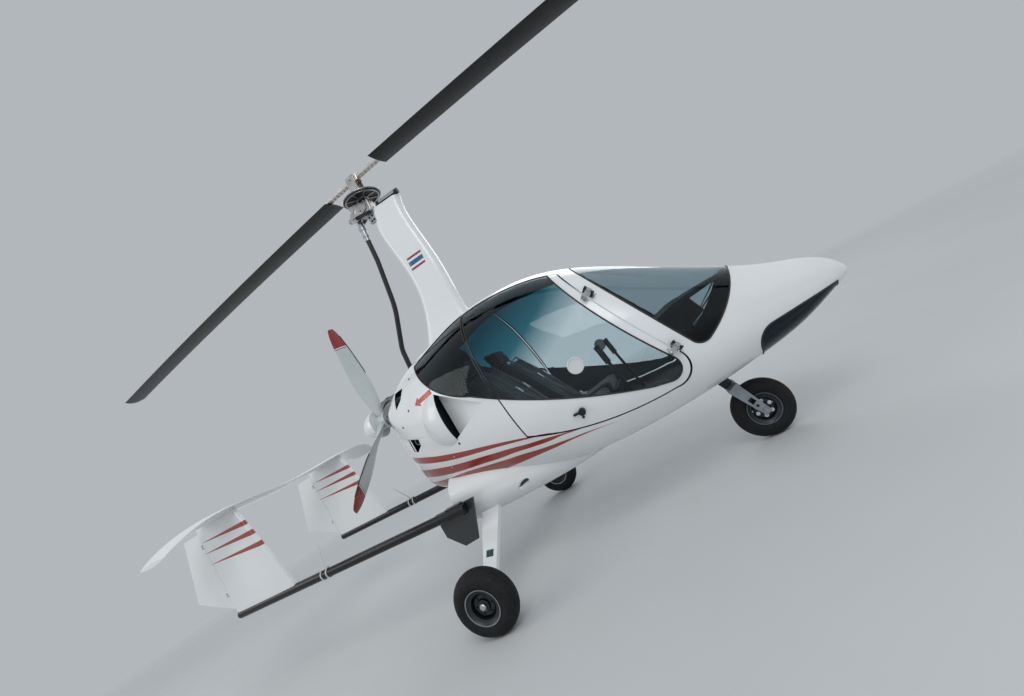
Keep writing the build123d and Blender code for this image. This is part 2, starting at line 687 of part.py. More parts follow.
def fins():
    """Both fixed fins, each standing on its boom."""
    pieces = []
    for side in (1, -1):
        fin = slab(fin_outline(), side * BOOM_Y, FIN_THICK)
        lead = Vector(
            (FIN_FRONT_LOW[0] + FIN_FRONT_TOP[0]) / 2, side * BOOM_Y, (FIN_FRONT_LOW[1] + FIN_FRONT_TOP[1]) / 2
        )
        fin = fillet([e for e in fin.edges() if (e.center() - lead).length < FIN_THICK], 0.44 * FIN_THICK)
        fin -= tube_cut(side)
        fin -= tailplane_form(FIT)
        fin = one_solid(fin)
        for z in RUDDER_LUGS:
            rear, front = RUDDER_HINGE_X - 9, RUDDER_HINGE_X + RUDDER_NOSE_R + RUDDER_GAP + 4
            fin += box(rear, front, side * BOOM_Y - 9, side * BOOM_Y + 9, z - 9.5, z + 9.5)
            fin -= Pos(RUDDER_HINGE_X, side * BOOM_Y, z) * Cylinder(RUDDER_PIN_R + RUNNING, 60)
        pieces.append(one_solid(fin))
    return Compound(pieces)


def tube_cut(side):
    """The boom's own space, with a fit's gap."""
    extra = boom_axis().normalized() * 50
    start = Vector(BOOM_FRONT[0], side * BOOM_Y, BOOM_FRONT[1]) - extra
    end = Vector(BOOM_REAR[0], side * BOOM_Y, BOOM_REAR[1]) + extra
    return cylinder_between(start, end, BOOM_R + FIT)


def rudder(side):
    """One rudder, a tapered panel with a round nose that turns on two pins."""
    outline = Polyline(
        (RUDDER_HINGE_X, 1345), RUDDER_TOP, RUDDER_LOW, (RUDDER_HINGE_X, RUDDER_HINGE_LOW), close=True
    )
    panel = slab(outline, side * BOOM_Y, 2 * RUDDER_NOSE_R)
    wedge = Polyline(
        (RUDDER_HINGE_X + 1, RUDDER_NOSE_R), (RUDDER_LOW[0] - 1, RUDDER_EDGE), (RUDDER_LOW[0] - 1, -RUDDER_EDGE),
        (RUDDER_HINGE_X + 1, -RUDDER_NOSE_R), close=True,
    )
    panel &= Pos(0, side * BOOM_Y, 0) * extrude(make_face(wedge), amount=2000)
    height = 1345 - RUDDER_HINGE_LOW
    panel += Pos(RUDDER_HINGE_X, side * BOOM_Y, RUDDER_HINGE_LOW + height / 2) * Cylinder(RUDDER_NOSE_R, height)
    for z in RUDDER_LUGS:
        panel -= Pos(RUDDER_HINGE_X, side * BOOM_Y, z) * Box(44, 60, 32)
        panel += Pos(RUDDER_HINGE_X, side * BOOM_Y, z) * Cylinder(RUDDER_PIN_R, 60)
    return one_solid(panel)


def tailplane_form(grow=0.0):
    """The tailplane: a straight aerofoil whose ends curve down."""
    sections = []
    # Columns: y, z drop, chord share
    rows = (
        (-TAILPLANE_HALF, TAILPLANE_DROOP, 0.62), (-1010, 48, 0.86), (-TAILPLANE_FLAT_HALF, 2, 1.0),
        (TAILPLANE_FLAT_HALF, 2, 1.0), (1010, 48, 0.86), (TAILPLANE_HALF, TAILPLANE_DROOP, 0.62),
    )
    for y, drop, share in rows:
        chord = TAILPLANE_CHORD * share + 2 * grow
        thick = TAILPLANE_THICK * share + 2 * grow
        lead = TAILPLANE_LEAD_X + grow - (TAILPLANE_CHORD - TAILPLANE_CHORD * share) * 0.6
        middle = lead - 0.5 * chord
        wire = [
            ThreePointArc((-chord / 2, 0), (0.08 * chord, thick / 2), (chord / 2, 0)),
            ThreePointArc((chord / 2, 0), (0.08 * chord, -thick / 2), (-chord / 2, 0)),
        ]
        sections.append(place((middle, y, TAILPLANE_Z - drop), (1, 0, 0), (0, -1, 0)) * make_face(wire))
    return loft(sections)


def tyre(width):
    """A round-shouldered tyre about the Z axis of its own plane."""
    half = width / 2
    seat, bead, shoulder = RIM_SEAT_R + FIT, RIM_R + 14, WHEEL_R - 22
    wall = 0.5 * (RIM_R + WHEEL_R) - 4
    outline = [
        Line((seat, -0.62 * half), (bead, -0.92 * half)),
        ThreePointArc((bead, -0.92 * half), (wall, -half), (shoulder, -0.80 * half)),
        ThreePointArc((shoulder, -0.80 * half), (WHEEL_R, 0), (shoulder, 0.80 * half)),
        ThreePointArc((shoulder, 0.80 * half), (wall, half), (bead, 0.92 * half)),
        Line((bead, 0.92 * half), (seat, 0.62 * half)),
        Line((seat, 0.62 * half), (seat, -0.62 * half)),
    ]
    return revolve(Plane.XZ * make_face(outline), Axis.Z)


def rim(width):
    """A spun rim with two flanges, a thin disc and a hub, bored for its axle."""
    half = 0.62 * width / 2
    seat = Pos(0, 0, -half) * extrude(Circle(RIM_SEAT_R) - Circle(RIM_SEAT_R - 9), amount=2 * half)
    disc = Pos(0, 0, -5) * extrude(Circle(RIM_SEAT_R - 5) - Circle(AXLE_R + RUNNING), amount=10)
    hub = Pos(0, 0, -half) * extrude(Circle(32) - Circle(AXLE_R + RUNNING), amount=2 * half)
    holes = [Pos(55 * cos(a), 55 * sin(a), 0) * Cylinder(11, 40) for a in [2 * pi * k / 6 for k in range(6)]]
    return (seat + disc + hub) - holes


def wheel_plane(x, y, z):
    """A wheel's plane: its own Z axis lies along the axle."""
    return Plane(origin=(x, y, z), x_dir=(1, 0, 0), z_dir=(0, -1, 0))


def main_axles():
    """A stub axle, flange and brake caliper at each end of the leg."""
    pieces = []
    for side in (1, -1):
        inner = side * (LEG_FOOT_Y - 6)
        outer = side * (TRACK_HALF + 0.31 * MAIN_TYRE_WIDTH + 14)
        axle = cylinder_between((MAIN_AXLE_X, inner, WHEEL_R), (MAIN_AXLE_X, outer, WHEEL_R), AXLE_R)
        y0, y1 = sorted((side * (LEG_FOOT_Y + 2), side * (LEG_FOOT_Y + 14)))
        flange = box(MAIN_AXLE_X - 34, MAIN_AXLE_X + 34, y0, y1, WHEEL_R - 30, WHEEL_R + 42)
        pieces.append(axle + flange - main_leg_form(FIT))
    return Compound([one_solid(p) for p in pieces])


def nose_plane():
    """A plane whose z axis is the steering axis, with its origin at the nose axle."""
    rake = radians(NOSE_RAKE)
    return place((NOSE_AXLE_X, 0, WHEEL_R), (cos(rake), 0, sin(rake)), (-sin(rake), 0, cos(rake)))


def nose_fork():
    """Two tapered blades, a crown, the steering tube and the axle."""
    plane = nose_plane()
    fork = plane * Pos(0, 0, FORK_CROWN) * Box(74, 2 * (FORK_HALF + FORK_WALL), 22)
    blade = Polyline((-24, -26), (24, -26), (37, FORK_CROWN + 11), (-37, FORK_CROWN + 11), close=True)
    for side in (1, -1):
        face = Plane(origin=plane.origin, x_dir=plane.x_dir, z_dir=(0, -1, 0)) * make_face(blade)
        solid = Pos(0, side * (FORK_HALF + FORK_WALL / 2), 0) * extrude(face, amount=FORK_WALL / 2, both=True)
        window = plane * Pos(0, side * (FORK_HALF + FORK_WALL / 2), 92) * Box(30, 40, 40)
        fork += solid - window
    fork += plane * Pos(0, 0, FORK_CROWN + 60) * Cylinder(STEER_TUBE_R, 120)
    reach = FORK_HALF + FORK_WALL + 8
    axle = cylinder_between((NOSE_AXLE_X, -reach, WHEEL_R), (NOSE_AXLE_X, reach, WHEEL_R), AXLE_R)
    return one_solid(fork + axle)


def nose_socket():
    """The bearing tube fixed in the belly that the steering tube turns in."""
    plane = nose_plane()
    tube = Circle(STEER_TUBE_R + 12) - Circle(STEER_TUBE_R + RUNNING)
    return plane * Pos(0, 0, FORK_CROWN + 18) * extrude(tube, amount=150)


def seat_outline():
    """The seat shell in side view."""
    return make_face(
        Polyline((900, 655), (900, 700), (520, 640), (190, 1240), (165, 1232), (470, 592.3), (860, 592.3), close=True)
    )


def headrest_outline():
    """The narrow head support above the shell, in side view."""
    return make_face(
        Polyline((212, 1200), (190, 1240), (150, 1385), (122, 1378), (165, 1232), (180, 1200), close=True)
    )


def seat_form(side, grow=0.0):
    """One bucket seat's hard shell, grown for the gap under its pads."""
    wide = slab(grown(seat_outline(), grow), side * SEAT_Y, SEAT_WIDTH + 2 * grow)
    narrow = slab(grown(headrest_outline(), grow), side * SEAT_Y, HEADREST_WIDTH + 2 * grow)
    return wide + narrow


def grown(face, amount):
    """A flat face grown on every side."""
    return offset(face, amount=amount, kind=Kind.INTERSECTION) if amount else face


def seats():
    """Both seat shells, trimmed where the cabin's floor curves up."""
    room = body_form(SKIN + 6)
    return Compound([one_solid(seat_form(side) & room) for side in (1, -1)])


def pad(side, outline, width):
    """One pad with rounded edges, cut to sit on the seat's shell."""
    block = slab(make_face(Polyline(*outline, close=True)), side * SEAT_Y, width)
    block = fillet(block.edges(), PAD_ROUND)
    return one_solid(block - seat_form(side, FIT))


def seat_cushions():
    """A squab, a backrest and a head pad for each seat."""
    squab = ((884, 668), (878, 776), (565.6, 726), (617.8, 635))
    back = ((610, 632), (264, 1260), (196, 1222), (500, 610))
    head = ((180, 1262), (240, 1278), (206, 1392), (146, 1376))
    pads = []
    for side in (1, -1):
        pads.append(pad(side, squab, CUSHION_WIDTH))
        pads.append(pad(side, back, CUSHION_WIDTH))
        pads.append(pad(side, head, HEADREST_WIDTH - 20))
    return Compound(pads)


def instrument_panel():
    """The panel and its hood, on a pedestal between the pilots' legs."""
    hood = Polyline((1325, 985), (1480, 1022), (1850, 1032), (1850, 1016), (1500, 996), (1340, 966), close=True)
    panel = slab(make_face(hood), 0, 1400) & body_form(SKIN + 6)
    face = Polyline((1352, 982), (1560, 1010), (1600, 900), (1500, 860), (1372, 806), close=True)
    panel += slab(make_face(face), 0, PANEL_WIDTH) & body_form(SKIN + 6)
    pedestal = box(1380, 1520, -90, 90, FLOOR_Z + FIT, 860)
    return one_solid(panel + pedestal)


def control_sticks():
    """A stick with a grip in front of each seat."""
    sticks = []
    for side in (1, -1):
        foot = (1041, side * STICK_Y, FLOOR_Z - 8)
        top = (985, side * STICK_Y, 930)
        stick = cylinder_between(foot, top, 10)
        grip = cylinder_between((988, side * STICK_Y, 905), (972, side * STICK_Y, 1030), 19)
        sticks.append(one_solid((stick + grip) - box(900, 1200, -900, 900, 500, FLOOR_Z + FIT)))
    return Compound(sticks)


def hinge_points():
    """Upper and lower pivot of the left door, clear of the skin."""
    return [Vector(*p) + Vector(*n).normalized() * HINGE_STAND_OFF for p, n in (UPPER_HINGE, LOWER_HINGE)]


def hinge_planes():
    """A plane at each pivot of the left door: z up the pin, y outwards and x forwards."""
    upper, lower = hinge_points()
    pin = (upper - lower).normalized()
    planes = []
    for point, (_, outward) in ((upper, UPPER_HINGE), (lower, LOWER_HINGE)):
        forward = Vector(*outward).cross(pin).normalized()
        planes.append(Plane(origin=point, x_dir=forward, z_dir=pin))
    return planes


def hinge_arms():
    """The left door's two hinge arms, each an eye with a foot on the door's front edge."""
    arms = []
    for plane in hinge_planes():
        eye = Cylinder(HINGE_EYE_R, 26)
        strap = Pos(-29.5, -6, 0) * Box(43, 10, 26)
        foot = Pos(-47, -(HINGE_STAND_OFF + 8) / 2, 0) * Box(13, HINGE_STAND_OFF + 6, 26)
        arm = eye + strap + foot - Cylinder(HINGE_PIN_R + RUNNING, 60)
        arms.append(plane * arm)
    return arms[0] + arms[1]


def hinge_brackets():
    """The left door's two fixed hinge pins, each between two ears on the pillar."""
    brackets = []
    for plane in hinge_planes():
        bracket = Cylinder(HINGE_PIN_R, 62)
        for z in (25, -25):
            ear = Pos(0, -HINGE_STAND_OFF / 2 - 1, z) * Box(20, HINGE_STAND_OFF, 12)
            bracket += ear + Pos(0, 0, z) * Cylinder(10, 12)
        brackets.append(one_solid(plane * bracket - body_form(-FIT)))
    return brackets


def door_handle(side):
    """The round turn-knob on the door's outside."""
    start = (775, side * 600, 779)
    end = (775, side * 656, 768)
    return one_solid(cylinder_between(start, end, 20) - body_form(-FIT))


def exhaust():
    """The tail pipe, from the engine block to just inside the cowl's starboard opening."""
    pipe = cylinder_between(EXHAUST_START, EXHAUST_END, EXHAUST_R)
    bore = cylinder_between(EXHAUST_START, EXHAUST_END, EXHAUST_R - 4)
    keep_out = box(GEAR_X, -70, -190 - FIT, 190 + FIT, 900, 1340)
    return one_solid(pipe - Pos(-19, -50, 4) * bore - keep_out)


def build():
    """Every node of the aircraft by name."""
    nodes = body_pieces()
    nodes["belly_pod"] = belly_pod()
    nodes["mast_fairing"] = mast()
    nodes["rotor_head"] = rotor_head()
    nodes["ring_gear"] = ring_gear()
    nodes["teeter_tower"] = teeter_tower()
    nodes["hub_bar"] = hub_bar()
    nodes["rotor_blades"] = rotor_blades()
    nodes["prerotator_motor"] = prerotator_motor()
    nodes["control_conduit"] = control_conduit()
    nodes["propeller"] = propeller()
    nodes["prop_spinner"] = prop_spinner()
    nodes["engine"] = engine()
    nodes["tail_booms"] = tail_booms()
    nodes["boom_beam"] = boom_beam()
    nodes["tailplane"] = tailplane_form()
    nodes["fins"] = fins()
    nodes["main_leg"] = main_leg_form()
    nodes["main_axles"] = main_axles()
    nodes["nose_fork"] = nose_fork()
    nodes["nose_socket"] = nose_socket()
    nodes["instrument_panel"] = instrument_panel()
    nodes["control_sticks"] = control_sticks()
    nodes["seats"] = seats()
    nodes["seat_cushions"] = seat_cushions()
    nodes["exhaust"] = exhaust()
    brackets = hinge_brackets()
    nodes["hinge_brackets"] = Compound([*brackets, *[mirror_y(b) for b in brackets]])
    for side, name in ((1, "left"), (-1, "right")):
        nodes[f"rudder_{name}"] = rudder(side)
        plane = wheel_plane(MAIN_AXLE_X, side * TRACK_HALF, WHEEL_R)
        nodes[f"main_tyre_{name}"] = plane * tyre(MAIN_TYRE_WIDTH)
        nodes[f"main_rim_{name}"] = plane * rim(MAIN_TYRE_WIDTH)
        nodes[f"door_handle_{name}"] = door_handle(side)
    nose = wheel_plane(NOSE_AXLE_X, 0, WHEEL_R)
    nodes["nose_tyre"] = nose * tyre(NOSE_TYRE_WIDTH)
    nodes["nose_rim"] = nose * rim(NOSE_TYRE_WIDTH)
    return nodes


def main():
    os.makedirs("parts", exist_ok=True)
    for name, shape in build().items():
        export_step(shape, f"parts/{name}.step")
        print(name, round(shape.volume / 1e6, 2), "litres")


main()
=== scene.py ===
# %% [markdown]
# # Dressing a two-seat gyroplane
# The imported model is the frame: every solid is already in its place, in metres, with +X to the nose,
# +Y to port and +Z up. This notebook gives each solid its finish and adds the pieces that are too small
# or too soft for solids. It starts with the libraries and the frame itself.

# %% Libraries and frame
import math

import bmesh
import bpy
from mathutils import Matrix, Vector
from mathutils.bvhtree import BVHTree


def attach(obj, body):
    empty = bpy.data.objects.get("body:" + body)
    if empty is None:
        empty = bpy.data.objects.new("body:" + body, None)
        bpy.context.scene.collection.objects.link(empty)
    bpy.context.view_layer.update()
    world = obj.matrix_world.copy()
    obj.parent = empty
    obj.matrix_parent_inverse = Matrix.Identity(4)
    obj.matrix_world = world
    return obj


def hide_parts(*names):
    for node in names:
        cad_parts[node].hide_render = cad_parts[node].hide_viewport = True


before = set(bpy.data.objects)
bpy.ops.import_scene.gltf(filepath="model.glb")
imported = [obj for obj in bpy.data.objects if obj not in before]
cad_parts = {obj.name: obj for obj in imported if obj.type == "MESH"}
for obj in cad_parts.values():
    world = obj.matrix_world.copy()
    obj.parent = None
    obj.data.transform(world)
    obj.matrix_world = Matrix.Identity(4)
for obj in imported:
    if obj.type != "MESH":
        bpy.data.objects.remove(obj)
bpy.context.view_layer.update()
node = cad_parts

# %% [markdown]
# ## Camera
# The picture was taken with a very wide lens held close to the nose and rolled by about thirty degrees.
# A camera's matrix has its right, up and backward directions as columns, so the three measured
# directions are written in as they are.

# %% Camera
EYE = Vector((1.360, -3.018, 1.0875))
RIGHT = Vector((0.80756, 0.29100, -0.51299))
UP = Vector((0.50940, 0.09421, 0.85536))
BACK = Vector((0.29724, -0.95207, -0.07215))
FOCAL = 443.674  # in the picture's pixels
view = bpy.data.cameras.new("camera")
view.sensor_width = 36.0
view.lens = 36.0 * FOCAL / 1024
view.clip_end = 200.0
camera = bpy.data.objects.new("camera", view)
turn = Matrix((RIGHT, UP, BACK)).transposed().to_4x4()
camera.matrix_world = Matrix.Translation(EYE) @ turn
bpy.context.scene.collection.objects.link(camera)
bpy.context.scene.camera = camera
bpy.context.scene.view_settings.view_transform = "Standard"
print("camera at", tuple(EYE), "lens", round(view.lens, 3))

# %% [markdown]
# ## A small kit for materials
# Every finish starts as a Principled shader. These helpers add nodes by type and join sockets by name, so
# each finish below reads as a short list of what it is made of. Patterns sit on Object coordinates, which
# are the frame's own metres, so noise and stripes stay where they are painted.


# %% Material kit
def add(tree, kind, **settings):
    """A shader node with its own settings made."""
    made = tree.nodes.new(kind)
    for key, value in settings.items():
        setattr(made, key, value)
    return made


def feed(tree, made, **links):
    """Joins or sets a node's inputs; a key such as i0 stands for input 0."""
    for key, value in links.items():
        socket = made.inputs[int(key[1:]) if key[1:].isdigit() else key.replace("_", " ")]
        if isinstance(value, bpy.types.NodeSocket):
            tree.links.new(value, socket)
        else:
            socket.default_value = value
    return made


def maths(tree, operation, *values):
    """A Math node's result."""
    made = add(tree, "ShaderNodeMath", operation=operation)
    for index, value in enumerate(values):
        feed(tree, made, **{f"i{index}": value})
    return made.outputs[0]


def off_axis(tree, a, b):
    """How far a point is from an axis, from two coordinates at right angles to it."""
    squares = [maths(tree, "MULTIPLY", part, part) for part in (a, b)]
    return maths(tree, "SQRT", maths(tree, "ADD", *squares))


def mix_colour(tree, share, first, second):
    """A blend of two colours."""
    made = add(tree, "ShaderNodeMix", data_type="RGBA")
    feed(tree, made, i0=share, i6=first, i7=second)
    return made.outputs[2]


def noise(tree, scale, detail=4.0, roughness=0.55, stretch=(1, 1, 1)):
    """Noise on object coordinates, stretched along an axis if asked."""
    where = add(tree, "ShaderNodeTexCoord").outputs["Object"]
    mapping = feed(tree, add(tree, "ShaderNodeMapping"), Vector=where, Scale=stretch)
    made = add(tree, "ShaderNodeTexNoise")
    feed(tree, made, Vector=mapping.outputs[0], Scale=scale, Detail=detail, Roughness=roughness)
    return made.outputs["Fac"]


def span(tree, value, low, high, to_low=0.0, to_high=1.0):
    """A value moved from one range to another, held at its ends."""
    made = add(tree, "ShaderNodeMapRange", clamp=True)
    feed(tree, made, i0=value, i1=low, i2=high, i3=to_low, i4=to_high)
    return made.outputs[0]


def axes(tree):
    """The object coordinates' x, y and z."""
    where = add(tree, "ShaderNodeTexCoord").outputs["Object"]
    return feed(tree, add(tree, "ShaderNodeSeparateXYZ"), Vector=where).outputs


def new_finish(name, colour, roughness=0.5, metallic=0.0, **sockets):
    """A material with one Principled shader; gives (material, tree, shader)."""
    material = bpy.data.materials.new(name)
    material.use_nodes = True
    tree = material.node_tree
    shader = tree.nodes["Principled BSDF"]
    feed(tree, shader, Base_Color=(*colour, 1.0), Roughness=roughness, Metallic=metallic)
    for key, value in sockets.items():
        feed(tree, shader, **{key: value})
    return material, tree, shader


def bump(tree, shader, height, strength=0.2, distance=0.001):
    """Bump on a shader from a height."""
    made = feed(tree, add(tree, "ShaderNodeBump"), Strength=strength, Distance=distance, Height=height)
    feed(tree, shader, Normal=made.outputs[0])


def varied(tree, shader, colour, share=0.12, scale=4.0, rough=(0.3, 0.45)):
    """Small cloudy changes of colour and roughness over a surface."""
    cloud = span(tree, noise(tree, scale), 0.35, 0.65)
    dark = tuple(c * (1 - share) for c in colour)
    feed(tree, shader, Base_Color=mix_colour(tree, cloud, (*dark, 1), (*colour, 1)))
    feed(tree, shader, Roughness=span(tree, noise(tree, scale * 6), 0.3, 0.7, *rough))


def plain_finish(name, colour, rough=(0.3, 0.45), metallic=0.0, grain=(0.1, 300.0), share=0.2,
                 scale=14.0, **sockets):
    """A finish with clouded colour and a fine grain, enough for a small part."""
    material, tree, shader = new_finish(name, colour, rough[0], metallic, **sockets)
    varied(tree, shader, colour, share, scale, rough)
    bump(tree, shader, noise(tree, grain[1], 2.0), grain[0], 0.0003)
    return material


def wear(material, *names):
    """Gives some solids one material."""
    for name in names:
        node[name].data.materials.clear()
        node[name].data.materials.append(material)


# %% [markdown]
# ## Floor, backdrop and light
# The floor fades out with distance into the backdrop: far off its shader turns transparent, and the
# world shows through. The world is a pale grey to the camera, so that the white paint stands out, a little
# brighter in reflections and through glass, and lights the object at a plain level. The Light Path node
# tells these apart. Three large soft lamps shape the body.

# %% Floor
floor_mesh = bpy.data.meshes.new("floor")
FAR = 40.0
floor_mesh.from_pydata([(-FAR, -FAR, 0), (FAR, -FAR, 0), (FAR, FAR, 0), (-FAR, FAR, 0)], [], [(0, 1, 2, 3)])
floor = bpy.data.objects.new("floor", floor_mesh)
bpy.context.scene.collection.objects.link(floor)
FLOOR_GREY = (0.60, 0.62, 0.63)
FADE_FROM, FADE_TO = 5.0, 12.0  # metres from the middle
pale, tree, shader = new_finish("pale floor", FLOOR_GREY, 0.75)
varied(tree, shader, FLOOR_GREY, 0.03, 0.8, (0.7, 0.8))
x, y, z = axes(tree)
faded = span(tree, off_axis(tree, x, y), FADE_FROM, FADE_TO)
blend = feed(tree, add(tree, "ShaderNodeMixShader"), i0=faded, i1=shader.outputs[0])
feed(tree, blend, i2=add(tree, "ShaderNodeBsdfTransparent").outputs[0])
feed(tree, tree.nodes["Material Output"], Surface=blend.outputs[0])
floor_mesh.materials.append(pale)

# %% World
LIGHT_LEVEL = 0.50
MIRROR_EXTRA = 0.22  # added for reflections and for what shows through glass
BACKDROP_LEVEL = 0.50
world = bpy.data.worlds.new("studio")
bpy.context.scene.world = world
world.use_nodes = True
sky = world.node_tree
sky.nodes.clear()
path = add(sky, "ShaderNodeLightPath")
behind = maths(sky, "MAXIMUM", path.outputs["Is Glossy Ray"], path.outputs["Is Transmission Ray"])
level = maths(sky, "ADD", maths(sky, "MULTIPLY", behind, MIRROR_EXTRA), LIGHT_LEVEL)
seen = maths(sky, "MULTIPLY", path.outputs["Is Camera Ray"], BACKDROP_LEVEL)
level = maths(sky, "MAXIMUM", level, seen)
background = add(sky, "ShaderNodeBackground")
feed(sky, background, Color=(0.90, 0.95, 1.0, 1), Strength=level)
feed(sky, add(sky, "ShaderNodeOutputWorld"), Surface=background.outputs[0])


# %% Lamps
def lamp(name, place, aim, size, watts, colour=(1, 1, 1)):
    """A large square lamp that looks at a point."""
    data = bpy.data.lights.new(name, "AREA")
    data.shape = "SQUARE"
    data.size = size
    data.energy = watts
    data.color = colour
    made = bpy.data.objects.new(name, data)
    made.location = place
    made.rotation_euler = (Vector(aim) - Vector(place)).to_track_quat("-Z", "Y").to_euler()
    bpy.context.scene.collection.objects.link(made)


lamp("key lamp", (3.5, -6.0, 7.0), (0.4, 0, 1.0), 5.0, 270)
lamp("side lamp", (-6.5, -4.0, 4.5), (-0.8, 0, 1.0), 4.0, 100, (1.0, 0.95, 0.9))
lamp("far lamp", (1.0, 7.0, 6.0), (0, 0, 1.4), 5.0, 130)

# %% [markdown]
# ## White paint and its stripes
# The body is smooth white composite. Three red-brown stripes run along each flank and grow wider to the
# tail. Painting them in the shader keeps one clean surface: a Float Curve turns a point's x into the height
# of the stripe's edge there, and the paint is red where the point lies between a lower and an upper curve.

# %% Stripe edges, in millimetres of x and z
# A flank stripe is its pointed tip's x, its upper edge and its lower edge.
FLANK_STRIPES = (
    (597,
     ((-700, 1043), (-559, 1012), (-416, 981), (-282, 945), (-155, 915), (-35, 888), (90, 864),
      (204, 840), (309, 815), (413, 786), (501, 763), (597, 726)),
     ((-700, 998), (-545, 963), (-428, 933), (-323, 907), (-190, 878), (-47, 853), (66, 837),
      (186, 819), (296, 799), (370, 785), (441, 769), (523, 750), (597, 725))),
    (761,
     ((-700, 926), (-492, 891), (-355, 868), (-227, 844), (-79, 821), (36, 807), (159, 789),
      (273, 772), (384, 750), (493, 733), (594, 712), (666, 698), (729, 684), (761, 674)),
     ((-700, 860), (-472, 822), (-341, 801), (-211, 783), (-88, 770), (29, 759), (156, 745),
      (285, 735), (400, 719), (512, 705), (587, 702), (662, 692), (727, 681), (761, 672))),
    (895,
     ((-700, 788), (-402, 772), (-264, 765), (-146, 759), (-30, 745), (79, 732), (180, 720),
      (288, 708), (444, 684), (560, 670), (638, 660), (700, 654), (766, 644), (895, 621)),
     ((-700, 750), (-533, 724), (-381, 702), (-240, 688), (-108, 680), (32, 668), (167, 661),
      (303, 658), (430, 655), (532, 651), (624, 650), (694, 645), (763, 639), (895, 620))),
)
# A fin stripe is a wedge: its tip, and the two corners of its wide end.
FIN_STRIPES = (
    ((-2345, 1271), (-1830, 1251), (-1817, 1212)),
    ((-2380, 1187), (-1814, 1165), (-1797, 1125)),
    ((-2386, 1096), (-1775, 1062), (-1759, 1023)),
)


CURVE_TOP = 1500  # the height in millimetres that a curve's value of 1 stands for


def edge_height(tree, x, points):
    """Height of a stripe's edge at x, by a Float Curve, all in metres."""
    x0, x1 = points[0][0] / 1000, points[-1][0] / 1000
    made = add(tree, "ShaderNodeFloatCurve")
    curve = made.mapping.curves[0]
    while len(curve.points) < len(points):
        curve.points.new(0.5, 0.5)
    for knot, (px, pz) in zip(curve.points, points):
        knot.location = ((px / 1000 - x0) / (x1 - x0), pz / CURVE_TOP)
    made.mapping.update()
    feed(tree, made, Value=span(tree, x, x0, x1))
    return maths(tree, "MULTIPLY", made.outputs[0], CURVE_TOP / 1000)


def between(tree, z, low, high, soft=0.0006):
    """One where z lies between two heights, with a hair-thin soft edge."""
    above = span(tree, maths(tree, "SUBTRACT", z, low), -soft, soft)
    below = span(tree, maths(tree, "SUBTRACT", high, z), -soft, soft)
    return maths(tree, "MULTIPLY", above, below)


# %% White paint
WHITE = (0.80, 0.82, 0.83)
STRIPE_RED = (0.33, 0.036, 0.022)
# Painted shade: a dark teal for the cabin's inner walls, which stand in shadow.
INNER_WALL_SHADE = (0.012, 0.030, 0.036)
# Painted shade: the hinge arms get the mid grey of white paint in shadow.
HINGE_SHADE_GREY = (0.30, 0.34, 0.35)


def inner_shade_mask(tree):
    """One on the inner faces of the hull's walls, whose direction points at the cabin's middle; these take
    painted shade.
    """
    where = add(tree, "ShaderNodeTexCoord")
    x, y, z = feed(tree, add(tree, "ShaderNodeSeparateXYZ"), Vector=where.outputs["Object"]).outputs
    nx, ny, nz = feed(tree, add(tree, "ShaderNodeSeparateXYZ"), Vector=where.outputs["Normal"]).outputs
    inward = maths(tree, "MULTIPLY", nx, maths(tree, "MULTIPLY", maths(tree, "SUBTRACT", x, 0.8), 0.25))
    inward = maths(tree, "ADD", inward, maths(tree, "MULTIPLY", ny, y))
    inward = maths(tree, "ADD", inward, maths(tree, "MULTIPLY", nz, maths(tree, "SUBTRACT", z, 1.05)))
    return maths(tree, "LESS_THAN", inward, -0.10)


PIN_LIFT = 0.041  # how far a door's hinge pins stand off the skin
UPPER_OUT, LOWER_OUT = Vector((0.375, 0.759, 0.532)), Vector((0.32, 0.947, 0.0))
UPPER_PIN = Vector((1.122, 0.502, 1.299)) + PIN_LIFT * UPPER_OUT.normalized()
LOWER_PIN = Vector((1.366, 0.534, 0.829)) + PIN_LIFT * LOWER_OUT.normalized()
PIN_LINE = (UPPER_PIN - LOWER_PIN).normalized()


def hinge_mask(tree):
    """One on the doors' hinge arms, found as a small box round each pin; the arms take a painted shade
    grey.
    """
    x, y, z = axes(tree)
    y = maths(tree, "ABSOLUTE", y)
    found = 0.0
    for pin, outward in ((UPPER_PIN, UPPER_OUT), (LOWER_PIN, LOWER_OUT)):
        forward = outward.cross(PIN_LINE).normalized()
        inside = 1.0
        for axis, low, high in ((forward, -0.066, 0.03), (PIN_LINE.cross(forward), -0.0335, 0.03),
                                (PIN_LINE, -0.04, 0.04)):
            place = -pin.dot(axis)
            for part, share in zip((x, y, z), axis):
                place = maths(tree, "ADD", place, maths(tree, "MULTIPLY", part, share))
            inside = maths(tree, "MULTIPLY", inside, between(tree, place, low, high))
        found = maths(tree, "MAXIMUM", found, inside)
    return found


def white_paint(name, mask=None, shade_inside=False):
    """Glossy white paint with a faint orange peel, red on the mask, with painted shade on the inner walls
    and hinge arms if asked.
    """
    material, tree, shader = new_finish(name, WHITE, 0.2, 0.0, Coat_Weight=0.45, Coat_Roughness=0.12)
    bump(tree, shader, noise(tree, 120.0, 2.0), 0.01, 0.0004)
    cloud = span(tree, noise(tree, 2.2), 0.35, 0.65)
    base = mix_colour(tree, cloud, (*[c * 0.965 for c in WHITE], 1), (*WHITE, 1))
    if mask:
        base = mix_colour(tree, mask(tree), base, (*STRIPE_RED, 1))
    if shade_inside:
        inner_shade, arm = inner_shade_mask(tree), hinge_mask(tree)
        inside = maths(tree, "MAXIMUM", inner_shade, arm)
        base = mix_colour(tree, inner_shade, base, (*INNER_WALL_SHADE, 1))
        base = mix_colour(tree, arm, base, (*HINGE_SHADE_GREY, 1))
        feed(tree, shader, Roughness=span(tree, inside, 0, 1, 0.2, 0.75))
        feed(tree, shader, Coat_Weight=span(tree, inside, 0, 1, 0.45, 0))
    feed(tree, shader, Base_Color=base)
    return material


